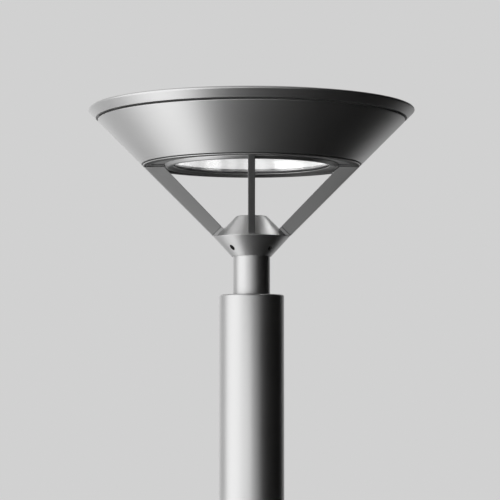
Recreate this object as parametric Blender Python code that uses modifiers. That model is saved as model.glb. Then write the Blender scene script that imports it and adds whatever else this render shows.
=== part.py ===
"""Street lamp post: a tubular post with a service door carries a conical head on four flat arms."""

import math

import bmesh
import bpy
from mathutils import Matrix
from mathutils import Vector

# General, in metres
CLEARANCE = 0.0003
SCREW_STEPS = 10
ROUND_STEPS = 16
LOCK_STEPS = 24
POLE_STEPS = 40
HUB_STEPS = 40
GLASS_STEPS = 40
HEAD_STEPS = 48
SOCKET_SHARE = 0.75

# Post
POLE_DIAMETER = 0.133
POLE_WALL = 0.004
POLE_TOP = 3.235
SHOULDER_THICKNESS = 0.008
SHOULDER_EDGE_RADIUS = 0.003
DOOR_SECTION_OVERRUN = 0.05
SPIGOT_DIAMETER = 0.076
SPIGOT_WALL = 0.004
SPIGOT_GRIP = 0.061
SPIGOT_TAIL = 0.15
SPIGOT_RING_THICKNESS = 0.01

# Base flange
FLANGE_SIDE = 0.32
FLANGE_THICKNESS = 0.02
FLANGE_CORNER_RADIUS = 0.02
ANCHOR_PITCH = 0.22
ANCHOR_HOLE_DIAMETER = 0.026
CABLE_ENTRY_DIAMETER = 0.09
WELD_LEG = 0.008

# Service door
DOOR_WIDTH = 0.085
DOOR_HEIGHT = 0.4
DOOR_SILL = 0.6
DOOR_CORNER_RADIUS = 0.02
DOOR_GAP = 0.0015
DOOR_THICKNESS = 0.004
STRIP_WIDTH = 0.02
STRIP_THICKNESS = 0.004
STRIP_LAP = 0.007
STRIP_OVERRUN = 0.025
TONGUE_WIDTH = 0.04
TONGUE_THICKNESS = 0.003
TONGUE_DROP = 0.015
TONGUE_RISE = 0.02

# Door lock
LOCK_DROP = 0.06
LOCK_BUSH_DIAMETER = 0.022
LOCK_BUSH_PROUD = 0.0015
LOCK_NUT_WIDTH = 0.03
LOCK_NUT_THICKNESS = 0.004
LOCK_SPINDLE_DIAMETER = 0.014
LOCK_STUD_DIAMETER = 0.008
LOCK_SOCKET_WIDTH = 0.008
LOCK_SOCKET_DEPTH = 0.006
LOCK_BAR_LAP = 0.0025
LOCK_BAR_WIDTH = 0.014
LOCK_BAR_THICKNESS = 0.003
LOCK_BAR_MARGIN = 0.0015

# Equipment behind the door
RAIL_WIDTH = 0.03
RAIL_THICKNESS = 0.003
RAIL_STANDOFF = 0.0145
RAIL_FOOT_HEIGHT = 0.02
RAIL_LENGTH = 0.34
RAIL_BOTTOM = 0.58
FUSE_BOX_WIDTH = 0.06
FUSE_BOX_DEPTH = 0.04
FUSE_BOX_HEIGHT = 0.16
FUSE_BOX_RISE = 0.1
FUSE_BOX_CORNER_RADIUS = 0.005
FUSE_COVER_DEPTH = 0.018
GLAND_DIAMETER = 0.022
GLAND_LENGTH = 0.02
GLAND_PITCH = 0.028
EARTH_STUD_RISE = 0.035
EARTH_STUD_DIAMETER = 0.008
EARTH_STUD_LENGTH = 0.024
EARTH_NUT_DIAMETER = 0.015
EARTH_NUT_THICKNESS = 0.006

# Hub, heights above the shoulder of the post
CONE_ANGLE = math.radians(45)
CONE_APEX_HEIGHT = 0.041
HUB_BOTTOM_RADIUS = 0.0405
HUB_BOTTOM_DROP = 0.003
HUB_RIM_RADIUS = 0.077
HUB_LEDGE_WIDTH = 0.004
HUB_LEDGE_RISE = 0.001
HUB_TOP_RADIUS = 0.031
HUB_TOP_EDGE_RADIUS = 0.004
HUB_ROOF = 0.008
HUB_CHAMBER_DIAMETER = 0.05
PAD_HEIGHT = 0.006
PAD_ROOT = 0.008
SET_SCREW_HEIGHT = 0.0945
SET_SCREW_DIAMETER = 0.01
SET_SCREW_LENGTH = 0.009
SET_SCREW_SOCKET_WIDTH = 0.005
SET_SCREW_SOCKET_DEPTH = 0.004

# Arms
ARM_THICKNESS = 0.014
ARM_DEPTH_HUB = 0.0265
ARM_FOOT_WIDTH = 0.043
ARM_BEZEL_GAP = 0.0006
ARM_EDGE_RADIUS = 0.001
LOWER_SCREW_DIAMETER = 0.008
LOWER_SCREW_HEAD_DIAMETER = 0.013
LOWER_SCREW_HEAD_HEIGHT = 0.008
LOWER_SCREW_WALL = 0.029
LOWER_SCREW_GRIP = 0.02
UPPER_SCREW_DIAMETER = 0.006
UPPER_SCREW_HEAD_DIAMETER = 0.01
UPPER_SCREW_HEAD_HEIGHT = 0.006
UPPER_SCREW_GRIP = 0.013

# Head, heights above the shoulder of the post
UNDERSIDE_HEIGHT = 0.2625
LOWER_RING_EDGE = 0.002
LOWER_RING_WIDTH = 0.0155
LOWER_RING_BEVEL = 0.0008
LOWER_SEAM = 0.0016
LOWER_SEAM_DEPTH = 0.01
HOUSING_HEIGHT = 0.0904
HOUSING_WALL = 0.004
HOUSING_BASE = 0.005
HOUSING_LAND = 0.004
HOUSING_LAND_WIDTH = 0.0305
LID_SEAM = 0.003
LID_BAND_HEIGHT = 0.0192
LID_ROOF_RISE = 0.02
LID_ROOF_THICKNESS = 0.003
LID_ROOF_STEPS = 4
LID_RIM_EDGE_RADIUS = 0.003
LID_GASKET_INSET = 0.0045
LID_GASKET_WIDTH = 0.01
LID_SCREW_INSET = 0.007
LID_SCREW_SPREAD = math.radians(70)
LID_SCREW_DIAMETER = 0.006
LID_SCREW_HEAD_DIAMETER = 0.011
LID_SCREW_HEAD_HEIGHT = 0.005
LID_SCREW_RECESS = 0.001
LID_SCREW_TIP = 0.003
LID_SCREW_PLAY = 0.0015

# Lid hinge at the rear of the head
HINGE_STANDOFF = 0.0095
HINGE_EYE_RADIUS = 0.006
HINGE_PIN_DIAMETER = 0.006
HINGE_EYE_WIDTH = 0.024
HINGE_SIDE_EYE_WIDTH = 0.014
HINGE_HEAD_DIAMETER = 0.009
HINGE_HEAD_THICKNESS = 0.0015
HINGE_ROOT_DEPTH = 0.004
HINGE_WEB_RISE = 0.009
HINGE_WEB_DROP = 0.012

# Glass and its bezel
BEZEL_LIP_INSET = 0.007
BEZEL_OPENING_INSET = 0.019
BEZEL_DROP = 0.0065
BEZEL_LIP_WIDTH = 0.003
BEZEL_SCREW_GAP = 0.001
BEZEL_FLANGE = 0.002
BEZEL_FIT = 0.0005
GLASS_INSET = 0.0105
GLASS_THICKNESS = 0.006
GLASS_GASKET_THICKNESS = 0.002
RETAINER_INSET = 0.001
RETAINER_THICKNESS = 0.002

# Reflector, light source and gear
GEAR_INSET = 0.1
REFLECTOR_FACETS = 24
REFLECTOR_BOARD_GAP = 0.006
REFLECTOR_WALL = 0.0012
REFLECTOR_FLANGE_WIDTH = 0.008
REFLECTOR_CURVE_STEPS = 4
TRAY_HEIGHT = 0.085
TRAY_LAND_GAP = 0.016
TRAY_THICKNESS = 0.003
TRAY_POST_INSET = 0.018
TRAY_POST_DIAMETER = 0.01
TRAY_STUD_DIAMETER = 0.005
TRAY_STUD_LENGTH = 0.008
BOARD_RADIUS = 0.064
BOARD_THICKNESS = 0.0016
CHIP_SIZE = 0.007
CHIP_THICKNESS = 0.0018
CHIP_RING_PITCH = 0.025
CHIP_RINGS = 2
SINK_SIDE = 0.13
SINK_BASE = 0.004
SINK_HEIGHT = 0.026
SINK_FINS = 9
SINK_FIN_THICKNESS = 0.0025
DRIVER_LENGTH = 0.15
DRIVER_WIDTH = 0.045
DRIVER_HEIGHT = 0.021
DRIVER_EAR = 0.014
DRIVER_EAR_THICKNESS = 0.002
TERMINAL_LENGTH = 0.06
TERMINAL_WIDTH = 0.02
TERMINAL_HEIGHT = 0.016
TERMINAL_BASE = 0.006
TERMINAL_POLES = 5
TERMINAL_POLE_WIDTH = 0.0095
TERMINAL_OFFSET = 0.06
SURGE_LENGTH = 0.055
SURGE_WIDTH = 0.034
SURGE_HEIGHT = 0.02
SURGE_OFFSET = 0.055
SURGE_CORNER_RADIUS = 0.003

# Values that follow from the sizes above
POLE_RADIUS = POLE_DIAMETER / 2
POLE_BORE = POLE_RADIUS - POLE_WALL
SPIGOT_RADIUS = SPIGOT_DIAMETER / 2
ARM_AZIMUTHS = {
    "right": 0.0,
    "rear": math.radians(90),
    "left": math.radians(180),
    "front": math.radians(270),
}
BETWEEN_ARMS = {
    "rear_right": math.radians(45),
    "rear_left": math.radians(135),
    "front_left": math.radians(225),
    "front_right": math.radians(315),
}
LID_SCREW_AZIMUTHS = {
    "left": math.radians(270) - LID_SCREW_SPREAD,
    "front": math.radians(270),
    "right": math.radians(270) + LID_SCREW_SPREAD,
}


def cone_radius(height):
    """Radius of the one cone that hub, arms, housing and lid share, at a height above the shoulder."""
    return (height - CONE_APEX_HEIGHT) * math.tan(CONE_ANGLE)


def cone_height(radius):
    """Height above the shoulder at which the shared cone has this radius."""
    return CONE_APEX_HEIGHT + radius / math.tan(CONE_ANGLE)


HUB_BOTTOM = cone_height(HUB_BOTTOM_RADIUS) - HUB_BOTTOM_DROP
HUB_RIM = cone_height(HUB_RIM_RADIUS)
HUB_LEDGE_RADIUS = HUB_RIM_RADIUS - HUB_LEDGE_WIDTH
HUB_TOP = HUB_RIM + HUB_LEDGE_RISE + (HUB_LEDGE_RADIUS - HUB_TOP_RADIUS) * math.tan(CONE_ANGLE)
HUB_BORE = SPIGOT_RADIUS + CLEARANCE
SPIGOT_TOP = HUB_BOTTOM + SPIGOT_GRIP
HOUSING_BOTTOM = UNDERSIDE_HEIGHT + LOWER_RING_EDGE + LOWER_SEAM
HOUSING_TOP = HOUSING_BOTTOM + HOUSING_HEIGHT
HOUSING_FLOOR = HOUSING_BOTTOM + HOUSING_BASE
LAND_INNER_RADIUS = cone_radius(HOUSING_TOP) - HOUSING_LAND_WIDTH
LID_GASKET_OUTER_RADIUS = cone_radius(HOUSING_TOP) - LID_GASKET_INSET
LID_GASKET_INNER_RADIUS = LID_GASKET_OUTER_RADIUS - LID_GASKET_WIDTH
LID_SCREW_RADIUS = LAND_INNER_RADIUS + LID_SCREW_INSET
LID_BOTTOM = HOUSING_TOP + LID_SEAM
LID_RIM = LID_BOTTOM + LID_BAND_HEIGHT
LID_ROOF_RADIUS = cone_radius(LID_RIM - LID_RIM_EDGE_RADIUS) - LID_RIM_EDGE_RADIUS / math.sin(CONE_ANGLE)
HINGE_HEIGHT = HOUSING_TOP + LID_SEAM / 2
HINGE_RADIUS = cone_radius(HINGE_HEIGHT) + HINGE_STANDOFF
UNDERSIDE_RADIUS = cone_radius(UNDERSIDE_HEIGHT)
UPPER_SCREW_RADIUS = UNDERSIDE_RADIUS - ARM_FOOT_WIDTH / 2
BEZEL_OUTER_RADIUS = UNDERSIDE_RADIUS - ARM_FOOT_WIDTH
BEZEL_LIP_RADIUS = BEZEL_OUTER_RADIUS - BEZEL_LIP_INSET
BEZEL_OPENING_RADIUS = BEZEL_OUTER_RADIUS - BEZEL_OPENING_INSET
BEZEL_FLANGE_RADIUS = UPPER_SCREW_RADIUS - UPPER_SCREW_HEAD_DIAMETER / 2 - BEZEL_SCREW_GAP
GLASS_RADIUS = BEZEL_OUTER_RADIUS - GLASS_INSET
BEZEL_FLANGE_TOP = HOUSING_FLOOR + CLEARANCE + BEZEL_FLANGE
BEZEL_LEDGE = BEZEL_FLANGE_TOP - GLASS_THICKNESS - GLASS_GASKET_THICKNESS - 2 * CLEARANCE
BEZEL_WELL_RADIUS = GLASS_RADIUS + CLEARANCE
RETAINER_INNER_RADIUS = BEZEL_OPENING_RADIUS + RETAINER_INSET
RETAINER_BOTTOM = BEZEL_FLANGE_TOP + CLEARANCE
RETAINER_TOP = RETAINER_BOTTOM + RETAINER_THICKNESS
TRAY_BOTTOM = UNDERSIDE_HEIGHT + TRAY_HEIGHT
TRAY_TOP = TRAY_BOTTOM + TRAY_THICKNESS
TRAY_RADIUS = LAND_INNER_RADIUS - TRAY_LAND_GAP
TRAY_POST_RADIUS = cone_radius(HOUSING_FLOOR) - TRAY_POST_INSET
REFLECTOR_TOP_RADIUS = BOARD_RADIUS + REFLECTOR_BOARD_GAP
GEAR_FLOOR = TRAY_TOP + CLEARANCE
GEAR_RADIUS = TRAY_RADIUS - GEAR_INSET
STRIP_OUTER = POLE_BORE - CLEARANCE
STRIP_INNER = STRIP_OUTER - STRIP_THICKNESS
LOCK_BAR_REACH = DOOR_WIDTH / 2 - STRIP_LAP + LOCK_BAR_LAP
LOCK_BAR_FRONT = -math.sqrt((STRIP_INNER - LOCK_BAR_MARGIN) ** 2 - LOCK_BAR_REACH ** 2)
LOCK_HEIGHT = DOOR_SILL + DOOR_HEIGHT - LOCK_DROP
RAIL_FRONT = POLE_BORE - RAIL_STANDOFF - RAIL_THICKNESS
DOOR_AXIS = Vector((0, -POLE_RADIUS, DOOR_SILL + DOOR_GAP))
LOCK_AXIS = Vector((0, -POLE_RADIUS, LOCK_HEIGHT))
HEAD_AXIS = Vector((0, 0, POLE_TOP))
LID_AXIS = Vector((0, HINGE_RADIUS, HINGE_HEIGHT))


def clear_scene():
    """Empty the file, so that the script gives the same result each time."""
    for obj in list(bpy.data.objects):
        bpy.data.objects.remove(obj, do_unlink=True)
    for name in ("street_lamp_post", "cutters"):
        old = bpy.data.collections.get(name)
        if old:
            bpy.data.collections.remove(old)


def collection(name):
    """The named collection, made on first use."""
    found = bpy.data.collections.get(name)
    if not found:
        found = bpy.data.collections.new(name)
        bpy.context.scene.collection.children.link(found)
    return found


def finish(name, colour, roughness, metallic):
    """A plain Principled material."""
    material = bpy.data.materials.get(name) or bpy.data.materials.new(name)
    material.use_nodes = True
    shader = material.node_tree.nodes["Principled BSDF"]
    shader.inputs["Base Color"].default_value = (*colour, 1.0)
    shader.inputs["Roughness"].default_value = roughness
    shader.inputs["Metallic"].default_value = metallic
    return material


def pivot(name, place, parent=None):
    """An empty on a joint's axis."""
    empty = bpy.data.objects.new(name, None)
    empty.location = place
    empty.parent = parent
    collection("street_lamp_post").objects.link(empty)
    return empty


def piece(name, mesh, material, parent=None, shift=(0, 0, 0), azimuth=0.0):
    """One named object of the model, shaded smooth except at its corners."""
    mesh.shade_smooth()
    mesh.set_sharp_from_angle(angle=math.radians(32))
    mesh.materials.clear()
    mesh.materials.append(material)
    obj = bpy.data.objects.new(name, mesh)
    obj.parent = parent
    obj.location = shift
    obj.rotation_euler.z = azimuth
    collection("street_lamp_post").objects.link(obj)
    return obj


def pattern(name, mesh, material, parent, azimuths, shift=(0, 0, 0)):
    """A piece for each named azimuth, all from one mesh drawn on +X."""
    for place, azimuth in azimuths.items():
        piece(f"{name}_{place}", mesh, material, parent, shift, azimuth)


def combine(target, operation, mesh):
    """Cut, join or trim a piece with a mesh given in the piece's own frame."""
    tool = bpy.data.objects.new(f"{target.name}_{operation.lower()}", mesh)
    tool.parent = target.parent
    tool.location = target.location
    tool.rotation_euler = target.rotation_euler
    tool.hide_render = True
    tool.display_type = "WIRE"
    collection("cutters").objects.link(tool)
    modifier = target.modifiers.new(operation.title(), "BOOLEAN")
    modifier.operation = operation
    modifier.solver = "EXACT"
    modifier.object = tool


def evaluated_mesh(obj):
    """A mesh of the object with its modifiers applied."""
    return bpy.data.meshes.new_from_object(obj.evaluated_get(bpy.context.evaluated_depsgraph_get()))


def carved(mesh, *tools):
    """A mesh with other meshes cut out of it, for a piece that repeats."""
    blank = bpy.data.objects.new("blank", mesh)
    collection("street_lamp_post").objects.link(blank)
    for tool in tools:
        combine(blank, "DIFFERENCE", tool)
    bpy.context.view_layer.update()
    result = evaluated_mesh(blank)
    for tool in [modifier.object for modifier in blank.modifiers]:
        bpy.data.objects.remove(tool, do_unlink=True)
    bpy.data.objects.remove(blank, do_unlink=True)
    return result


def turned_mesh(name, profile, steps):
    """A profile of (radius, height) points, down its outer side, turned about Z.

    A profile that starts and ends on the axis is a solid, any other is closed on itself as a ring.
    """
    mesh = bpy.data.meshes.new(name)
    points = [(radius, 0.0, height) for radius, height in profile]
    edges = [(i, i + 1) for i in range(len(points) - 1)]
    if profile[0][0] or profile[-1][0]:
        edges.append((len(points) - 1, 0))
    mesh.from_pydata(points, edges, [])
    blank = bpy.data.objects.new(name, mesh)
    bpy.context.scene.collection.objects.link(blank)
    screw = blank.modifiers.new("Turn", "SCREW")
    screw.axis = "Z"
    screw.steps = steps
    screw.render_steps = steps
    screw.use_merge_vertices = True
    screw.merge_threshold = 0.00001
    result = evaluated_mesh(blank)
    bpy.data.objects.remove(blank, do_unlink=True)
    result.transform(half_step(steps))
    return result


def half_step(steps):
    """Half a facet's turn about Z, which puts flats and not corners on the axes where holes lie."""
    return Matrix.Rotation(math.pi / steps, 4, "Z")


def mesh_of(name, build):
    """A mesh filled by a function that draws into a bmesh."""
    mesh = bpy.data.meshes.new(name)
    drawing = bmesh.new()
    build(drawing)
    bmesh.ops.recalc_face_normals(drawing, faces=drawing.faces[:])
    drawing.to_mesh(mesh)
    drawing.free()
    return mesh


def copies(name, mesh, places):
    """One mesh that holds a separate copy of a shape at each of the places, given as matrices."""

    def build(drawing):
        for place in places:
            before = set(drawing.verts)
            drawing.from_mesh(mesh)
            added = [vert for vert in drawing.verts if vert not in before]
            bmesh.ops.transform(drawing, matrix=place, verts=added)

    return mesh_of(name, build)


def boxes(name, spans, corner_radius=0.0, along=None):
    """Boxes between pairs of opposite corners, with the edges along one axis rounded."""

    def build(drawing):
        for low, high in spans:
            size = Vector(high) - Vector(low)
            centre = (Vector(high) + Vector(low)) / 2
            place = Matrix.Translation(centre) @ Matrix.Diagonal((*size, 1))
            bmesh.ops.create_cube(drawing, size=1, matrix=place)
        if corner_radius:
            axis = Vector((along == "X", along == "Y", along == "Z"))
            picked = []
            for edge in drawing.edges:
                direction = (edge.verts[1].co - edge.verts[0].co).normalized()
                if abs(direction.dot(axis)) > 0.99:
                    picked.append(edge)
            bmesh.ops.bevel(
                drawing, geom=picked, offset=corner_radius, segments=5, profile=0.5, affect="EDGES"
            )

    return mesh_of(name, build)


def rods(name, spans, diameter, steps=ROUND_STEPS):
    """A round bar between each pair of end points."""

    def build(drawing):
        for start, end in spans:
            run = Vector(end) - Vector(start)
            place = Matrix.Translation((Vector(start) + Vector(end)) / 2)
            place = place @ run.to_track_quat("Z", "Y").to_matrix().to_4x4() @ half_step(steps)
            bmesh.ops.create_cone(
                drawing, cap_ends=True, segments=steps, radius1=diameter / 2, radius2=diameter / 2,
                depth=run.length, matrix=place,
            )

    return mesh_of(name, build)


def extruded(name, outline, half_width, plane):
    """A flat outline given in the XZ or YZ plane, thickened to both sides of that plane."""

    def build(drawing):
        if plane == "XZ":
            points = [(a, -half_width, b) for a, b in outline]
            run = Vector((0, 2 * half_width, 0))
        else:
            points = [(-half_width, a, b) for a, b in outline]
            run = Vector((2 * half_width, 0, 0))
        face = drawing.faces.new([drawing.verts.new(point) for point in points])
        grown = bmesh.ops.extrude_face_region(drawing, geom=[face])
        moved = [item for item in grown["geom"] if isinstance(item, bmesh.types.BMVert)]
        bmesh.ops.translate(drawing, vec=run, verts=moved)

    return mesh_of(name, build)


def arc(centre, radius, start, end, steps):
    """Points on an arc, with angles in degrees."""
    points = []
    for step in range(steps + 1):
        angle = math.radians(start + (end - start) * step / steps)
        points.append((centre[0] + radius * math.cos(angle), centre[1] + radius * math.sin(angle)))
    return points


def tube_profile(outer, inner, low, high):
    """A plain ring."""
    return [(outer, high), (outer, low), (inner, low), (inner, high)]


def disc_profile(radius, low, high):
    """A plain disc."""
    return [(0, high), (radius, high), (radius, low), (0, low)]


def screw_profile(diameter, length, head_diameter, head_height, socket_diameter, socket_depth):
    """A cap screw with its seat at height zero and its head above."""
    return [
        (0, head_height - socket_depth),
        (socket_diameter / 2, head_height - socket_depth),
        (socket_diameter / 2, head_height),
        (head_diameter / 2, head_height),
        (head_diameter / 2, 0),
        (diameter / 2, 0),
        (diameter / 2, -length),
        (0, -length),
    ]


def around(azimuths, place):
    """The same place turned to each azimuth about Z."""
    return [Matrix.Rotation(azimuth, 4, "Z") @ place for azimuth in azimuths]


def comb_outline(length, base, height, count, tooth):
    """Outline of a base with evenly spaced teeth on top, centred on zero."""
    pitch = (length - tooth) / (count - 1)
    points = [(length / 2, 0), (-length / 2, 0)]
    for number in range(count):
        left = -length / 2 + number * pitch
        if number:
            points.append((left, base))
        points += [(left, height), (left + tooth, height)]
        if number < count - 1:
            points.append((left + tooth, base))
    return points


def make_flange(steel):
    """Square base plate with anchor holes, a cable entry and the weld round the post's foot."""
    half = FLANGE_SIDE / 2
    plate = boxes(
        "base_flange", [((-half, -half, 0), (half, half, FLANGE_THICKNESS))], FLANGE_CORNER_RADIUS, "Z"
    )
    flange = piece("base_flange", plate, steel)
    root = POLE_RADIUS + CLEARANCE
    bead = [
        (root, FLANGE_THICKNESS + WELD_LEG),
        (root + WELD_LEG, FLANGE_THICKNESS),
        (root + WELD_LEG, FLANGE_THICKNESS / 2),
        (root, FLANGE_THICKNESS / 2),
    ]
    combine(flange, "UNION", turned_mesh("weld", bead, POLE_STEPS))
    low, high = -FLANGE_THICKNESS, 2 * FLANGE_THICKNESS
    entry = rods("entry", [((0, 0, low), (0, 0, high))], CABLE_ENTRY_DIAMETER, POLE_STEPS)
    combine(flange, "DIFFERENCE", entry)
    spans = []
    for x in (-ANCHOR_PITCH / 2, ANCHOR_PITCH / 2):
        for y in (-ANCHOR_PITCH / 2, ANCHOR_PITCH / 2):
            spans.append(((x, y, low), (x, y, high)))
    combine(flange, "DIFFERENCE", rods("anchor_holes", spans, ANCHOR_HOLE_DIAMETER))


def door_block(gap):
    """The rounded outline of the door opening as a block through the front wall, shrunk by a gap."""
    half = DOOR_WIDTH / 2 - gap
    low = (-half, -POLE_DIAMETER, DOOR_SILL + gap)
    high = (half, 0, DOOR_SILL + DOOR_HEIGHT - gap)
    return boxes("door_block", [(low, high)], DOOR_CORNER_RADIUS - gap, "Y")


def make_post(paint, steel):
    """The tube in three sections, the spigot on its closed shoulder and the ring that centres it."""
    bore = SPIGOT_RADIUS + CLEARANCE
    low, high = DOOR_SILL - DOOR_SECTION_OVERRUN, DOOR_SILL + DOOR_HEIGHT + DOOR_SECTION_OVERRUN
    foot = tube_profile(POLE_RADIUS, POLE_BORE, FLANGE_THICKNESS + CLEARANCE, low - CLEARANCE)
    piece("pole_foot", turned_mesh("pole_foot", foot, POLE_STEPS), paint)
    middle = tube_profile(POLE_RADIUS, POLE_BORE, low, high)
    section = piece("pole_door_section", turned_mesh("pole_door_section", middle, POLE_STEPS), paint)
    combine(section, "DIFFERENCE", door_block(0))
    edge = (POLE_RADIUS - SHOULDER_EDGE_RADIUS, POLE_TOP - SHOULDER_EDGE_RADIUS)
    profile = [(bore, POLE_TOP), *arc(edge, SHOULDER_EDGE_RADIUS, 90, 0, 3)]
    profile += [(POLE_RADIUS, high + CLEARANCE), (POLE_BORE, high + CLEARANCE)]
    profile += [(POLE_BORE, POLE_TOP - SHOULDER_THICKNESS), (bore, POLE_TOP - SHOULDER_THICKNESS)]
    piece("pole_tube", turned_mesh("pole_tube", profile, POLE_STEPS), paint)

    low, high = POLE_TOP - SPIGOT_TAIL, POLE_TOP + SPIGOT_TOP
    tube = tube_profile(SPIGOT_RADIUS, SPIGOT_RADIUS - SPIGOT_WALL, low, high)
    piece("spigot_tube", turned_mesh("spigot_tube", tube, HUB_STEPS), paint)
    ring = tube_profile(POLE_BORE - CLEARANCE, bore, low, low + SPIGOT_RING_THICKNESS)
    piece("spigot_ring", turned_mesh("spigot_ring", ring, POLE_STEPS), steel)


def make_door(paint, steel, door_pivot, lock_pivot):
    """The door with its tongue and lock, and the strips behind the opening that it closes on."""
    ring = turned_mesh(
        "strip_tube",
        tube_profile(
            STRIP_OUTER, STRIP_INNER, DOOR_SILL - STRIP_OVERRUN, DOOR_SILL + DOOR_HEIGHT + STRIP_OVERRUN
        ),
        POLE_STEPS,
    )
    near = DOOR_WIDTH / 2 - STRIP_LAP
    for place, side in (("left", -1), ("right", 1)):
        strip = piece(f"door_strip_{place}", ring.copy(), steel)
        edges = sorted((side * near, side * (near + STRIP_WIDTH)))
        span = ((edges[0], -POLE_DIAMETER, 0), (edges[1], 0, POLE_TOP))
        combine(strip, "INTERSECT", boxes("strip_block", [span]))

    shell = tube_profile(POLE_RADIUS, POLE_RADIUS - DOOR_THICKNESS, DOOR_SILL - DOOR_GAP,
                         DOOR_SILL + DOOR_HEIGHT + DOOR_GAP)
    mesh = turned_mesh("door_panel", shell, POLE_STEPS)
    door = piece("door_panel", mesh, paint, door_pivot, -DOOR_AXIS)
    combine(door, "INTERSECT", door_block(DOOR_GAP))
    behind = (0, 0, LOCK_HEIGHT)
    before = (0, -POLE_DIAMETER, LOCK_HEIGHT)
    hole = rods("lock_hole", [(behind, before)], LOCK_BUSH_DIAMETER + 2 * CLEARANCE, LOCK_STEPS)
    combine(door, "DIFFERENCE", hole)

    tongue_outer = min(STRIP_OUTER, POLE_RADIUS - DOOR_THICKNESS - CLEARANCE)
    tail = tube_profile(tongue_outer, tongue_outer - TONGUE_THICKNESS, DOOR_SILL - TONGUE_DROP,
                        DOOR_SILL + TONGUE_RISE)
    mesh = turned_mesh("door_tongue", tail, POLE_STEPS)
    tongue = piece("door_tongue", mesh, steel, door_pivot, -DOOR_AXIS)
    span = ((-TONGUE_WIDTH / 2, -POLE_DIAMETER, 0), (TONGUE_WIDTH / 2, 0, POLE_TOP))
    combine(tongue, "INTERSECT", boxes("tongue_block", [span]))
    make_lock(steel, door_pivot, lock_pivot)


def make_lock(steel, door_pivot, lock_pivot):
    """A bush held by a nut, and the key spindle that turns the bar behind the strips."""
    facing = Matrix.Rotation(math.radians(90), 4, "X")
    place = [Matrix.Translation((0, 0, LOCK_HEIGHT)) @ facing]
    bore = LOCK_SPINDLE_DIAMETER / 2 + CLEARANCE
    nut_radius = LOCK_NUT_WIDTH / 2 / math.cos(math.radians(30))
    nut_front = math.sqrt((POLE_RADIUS - DOOR_THICKNESS) ** 2 - nut_radius ** 2) - CLEARANCE
    nut_back = nut_front - LOCK_NUT_THICKNESS
    front = POLE_RADIUS + LOCK_BUSH_PROUD
    bush = tube_profile(LOCK_BUSH_DIAMETER / 2, bore, nut_back, front)
    mesh = copies("lock_bush", turned_mesh("bush", bush, LOCK_STEPS), place)
    piece("lock_bush", mesh, steel, door_pivot, -DOOR_AXIS)
    blank = turned_mesh("nut", disc_profile(nut_radius, nut_back, nut_front), 6)
    nut = piece("lock_nut", copies("lock_nut", blank, place), steel, door_pivot, -DOOR_AXIS)
    bush_way = ((0, 0, LOCK_HEIGHT), (0, -POLE_DIAMETER, LOCK_HEIGHT))
    bore_width = LOCK_BUSH_DIAMETER + 2 * CLEARANCE
    combine(nut, "DIFFERENCE", rods("nut_bore", [bush_way], bore_width, LOCK_STEPS))

    back = -LOCK_BAR_FRONT
    stud_end = back - 2 * LOCK_BAR_THICKNESS
    core = [
        (0, front),
        (LOCK_SPINDLE_DIAMETER / 2, front),
        (LOCK_SPINDLE_DIAMETER / 2, back + CLEARANCE),
        (LOCK_STUD_DIAMETER / 2, back + CLEARANCE),
        (LOCK_STUD_DIAMETER / 2, stud_end),
        (0, stud_end),
    ]
    mesh = copies("lock_spindle", turned_mesh("spindle", core, LOCK_STEPS), place)
    spindle = piece("lock_spindle", mesh, steel, lock_pivot, -LOCK_AXIS)
    socket = ((0, -front + LOCK_SOCKET_DEPTH, LOCK_HEIGHT), (0, -POLE_DIAMETER, LOCK_HEIGHT))
    combine(spindle, "DIFFERENCE", rods("key_socket", [socket], LOCK_SOCKET_WIDTH, 3))

    low = (-LOCK_BAR_WIDTH / 2, LOCK_BAR_FRONT, LOCK_HEIGHT - LOCK_BAR_REACH)
    high = (LOCK_BAR_WIDTH / 2, LOCK_BAR_FRONT + LOCK_BAR_THICKNESS, LOCK_HEIGHT + LOCK_BAR_REACH)
    mesh = boxes("lock_bar", [(low, high)], LOCK_BAR_WIDTH / 4, "Y")
    bar = piece("lock_bar", mesh, steel, lock_pivot, -LOCK_AXIS)
    combine(bar, "DIFFERENCE", rods("bar_bore", [bush_way], LOCK_STUD_DIAMETER + 2 * CLEARANCE))


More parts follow.
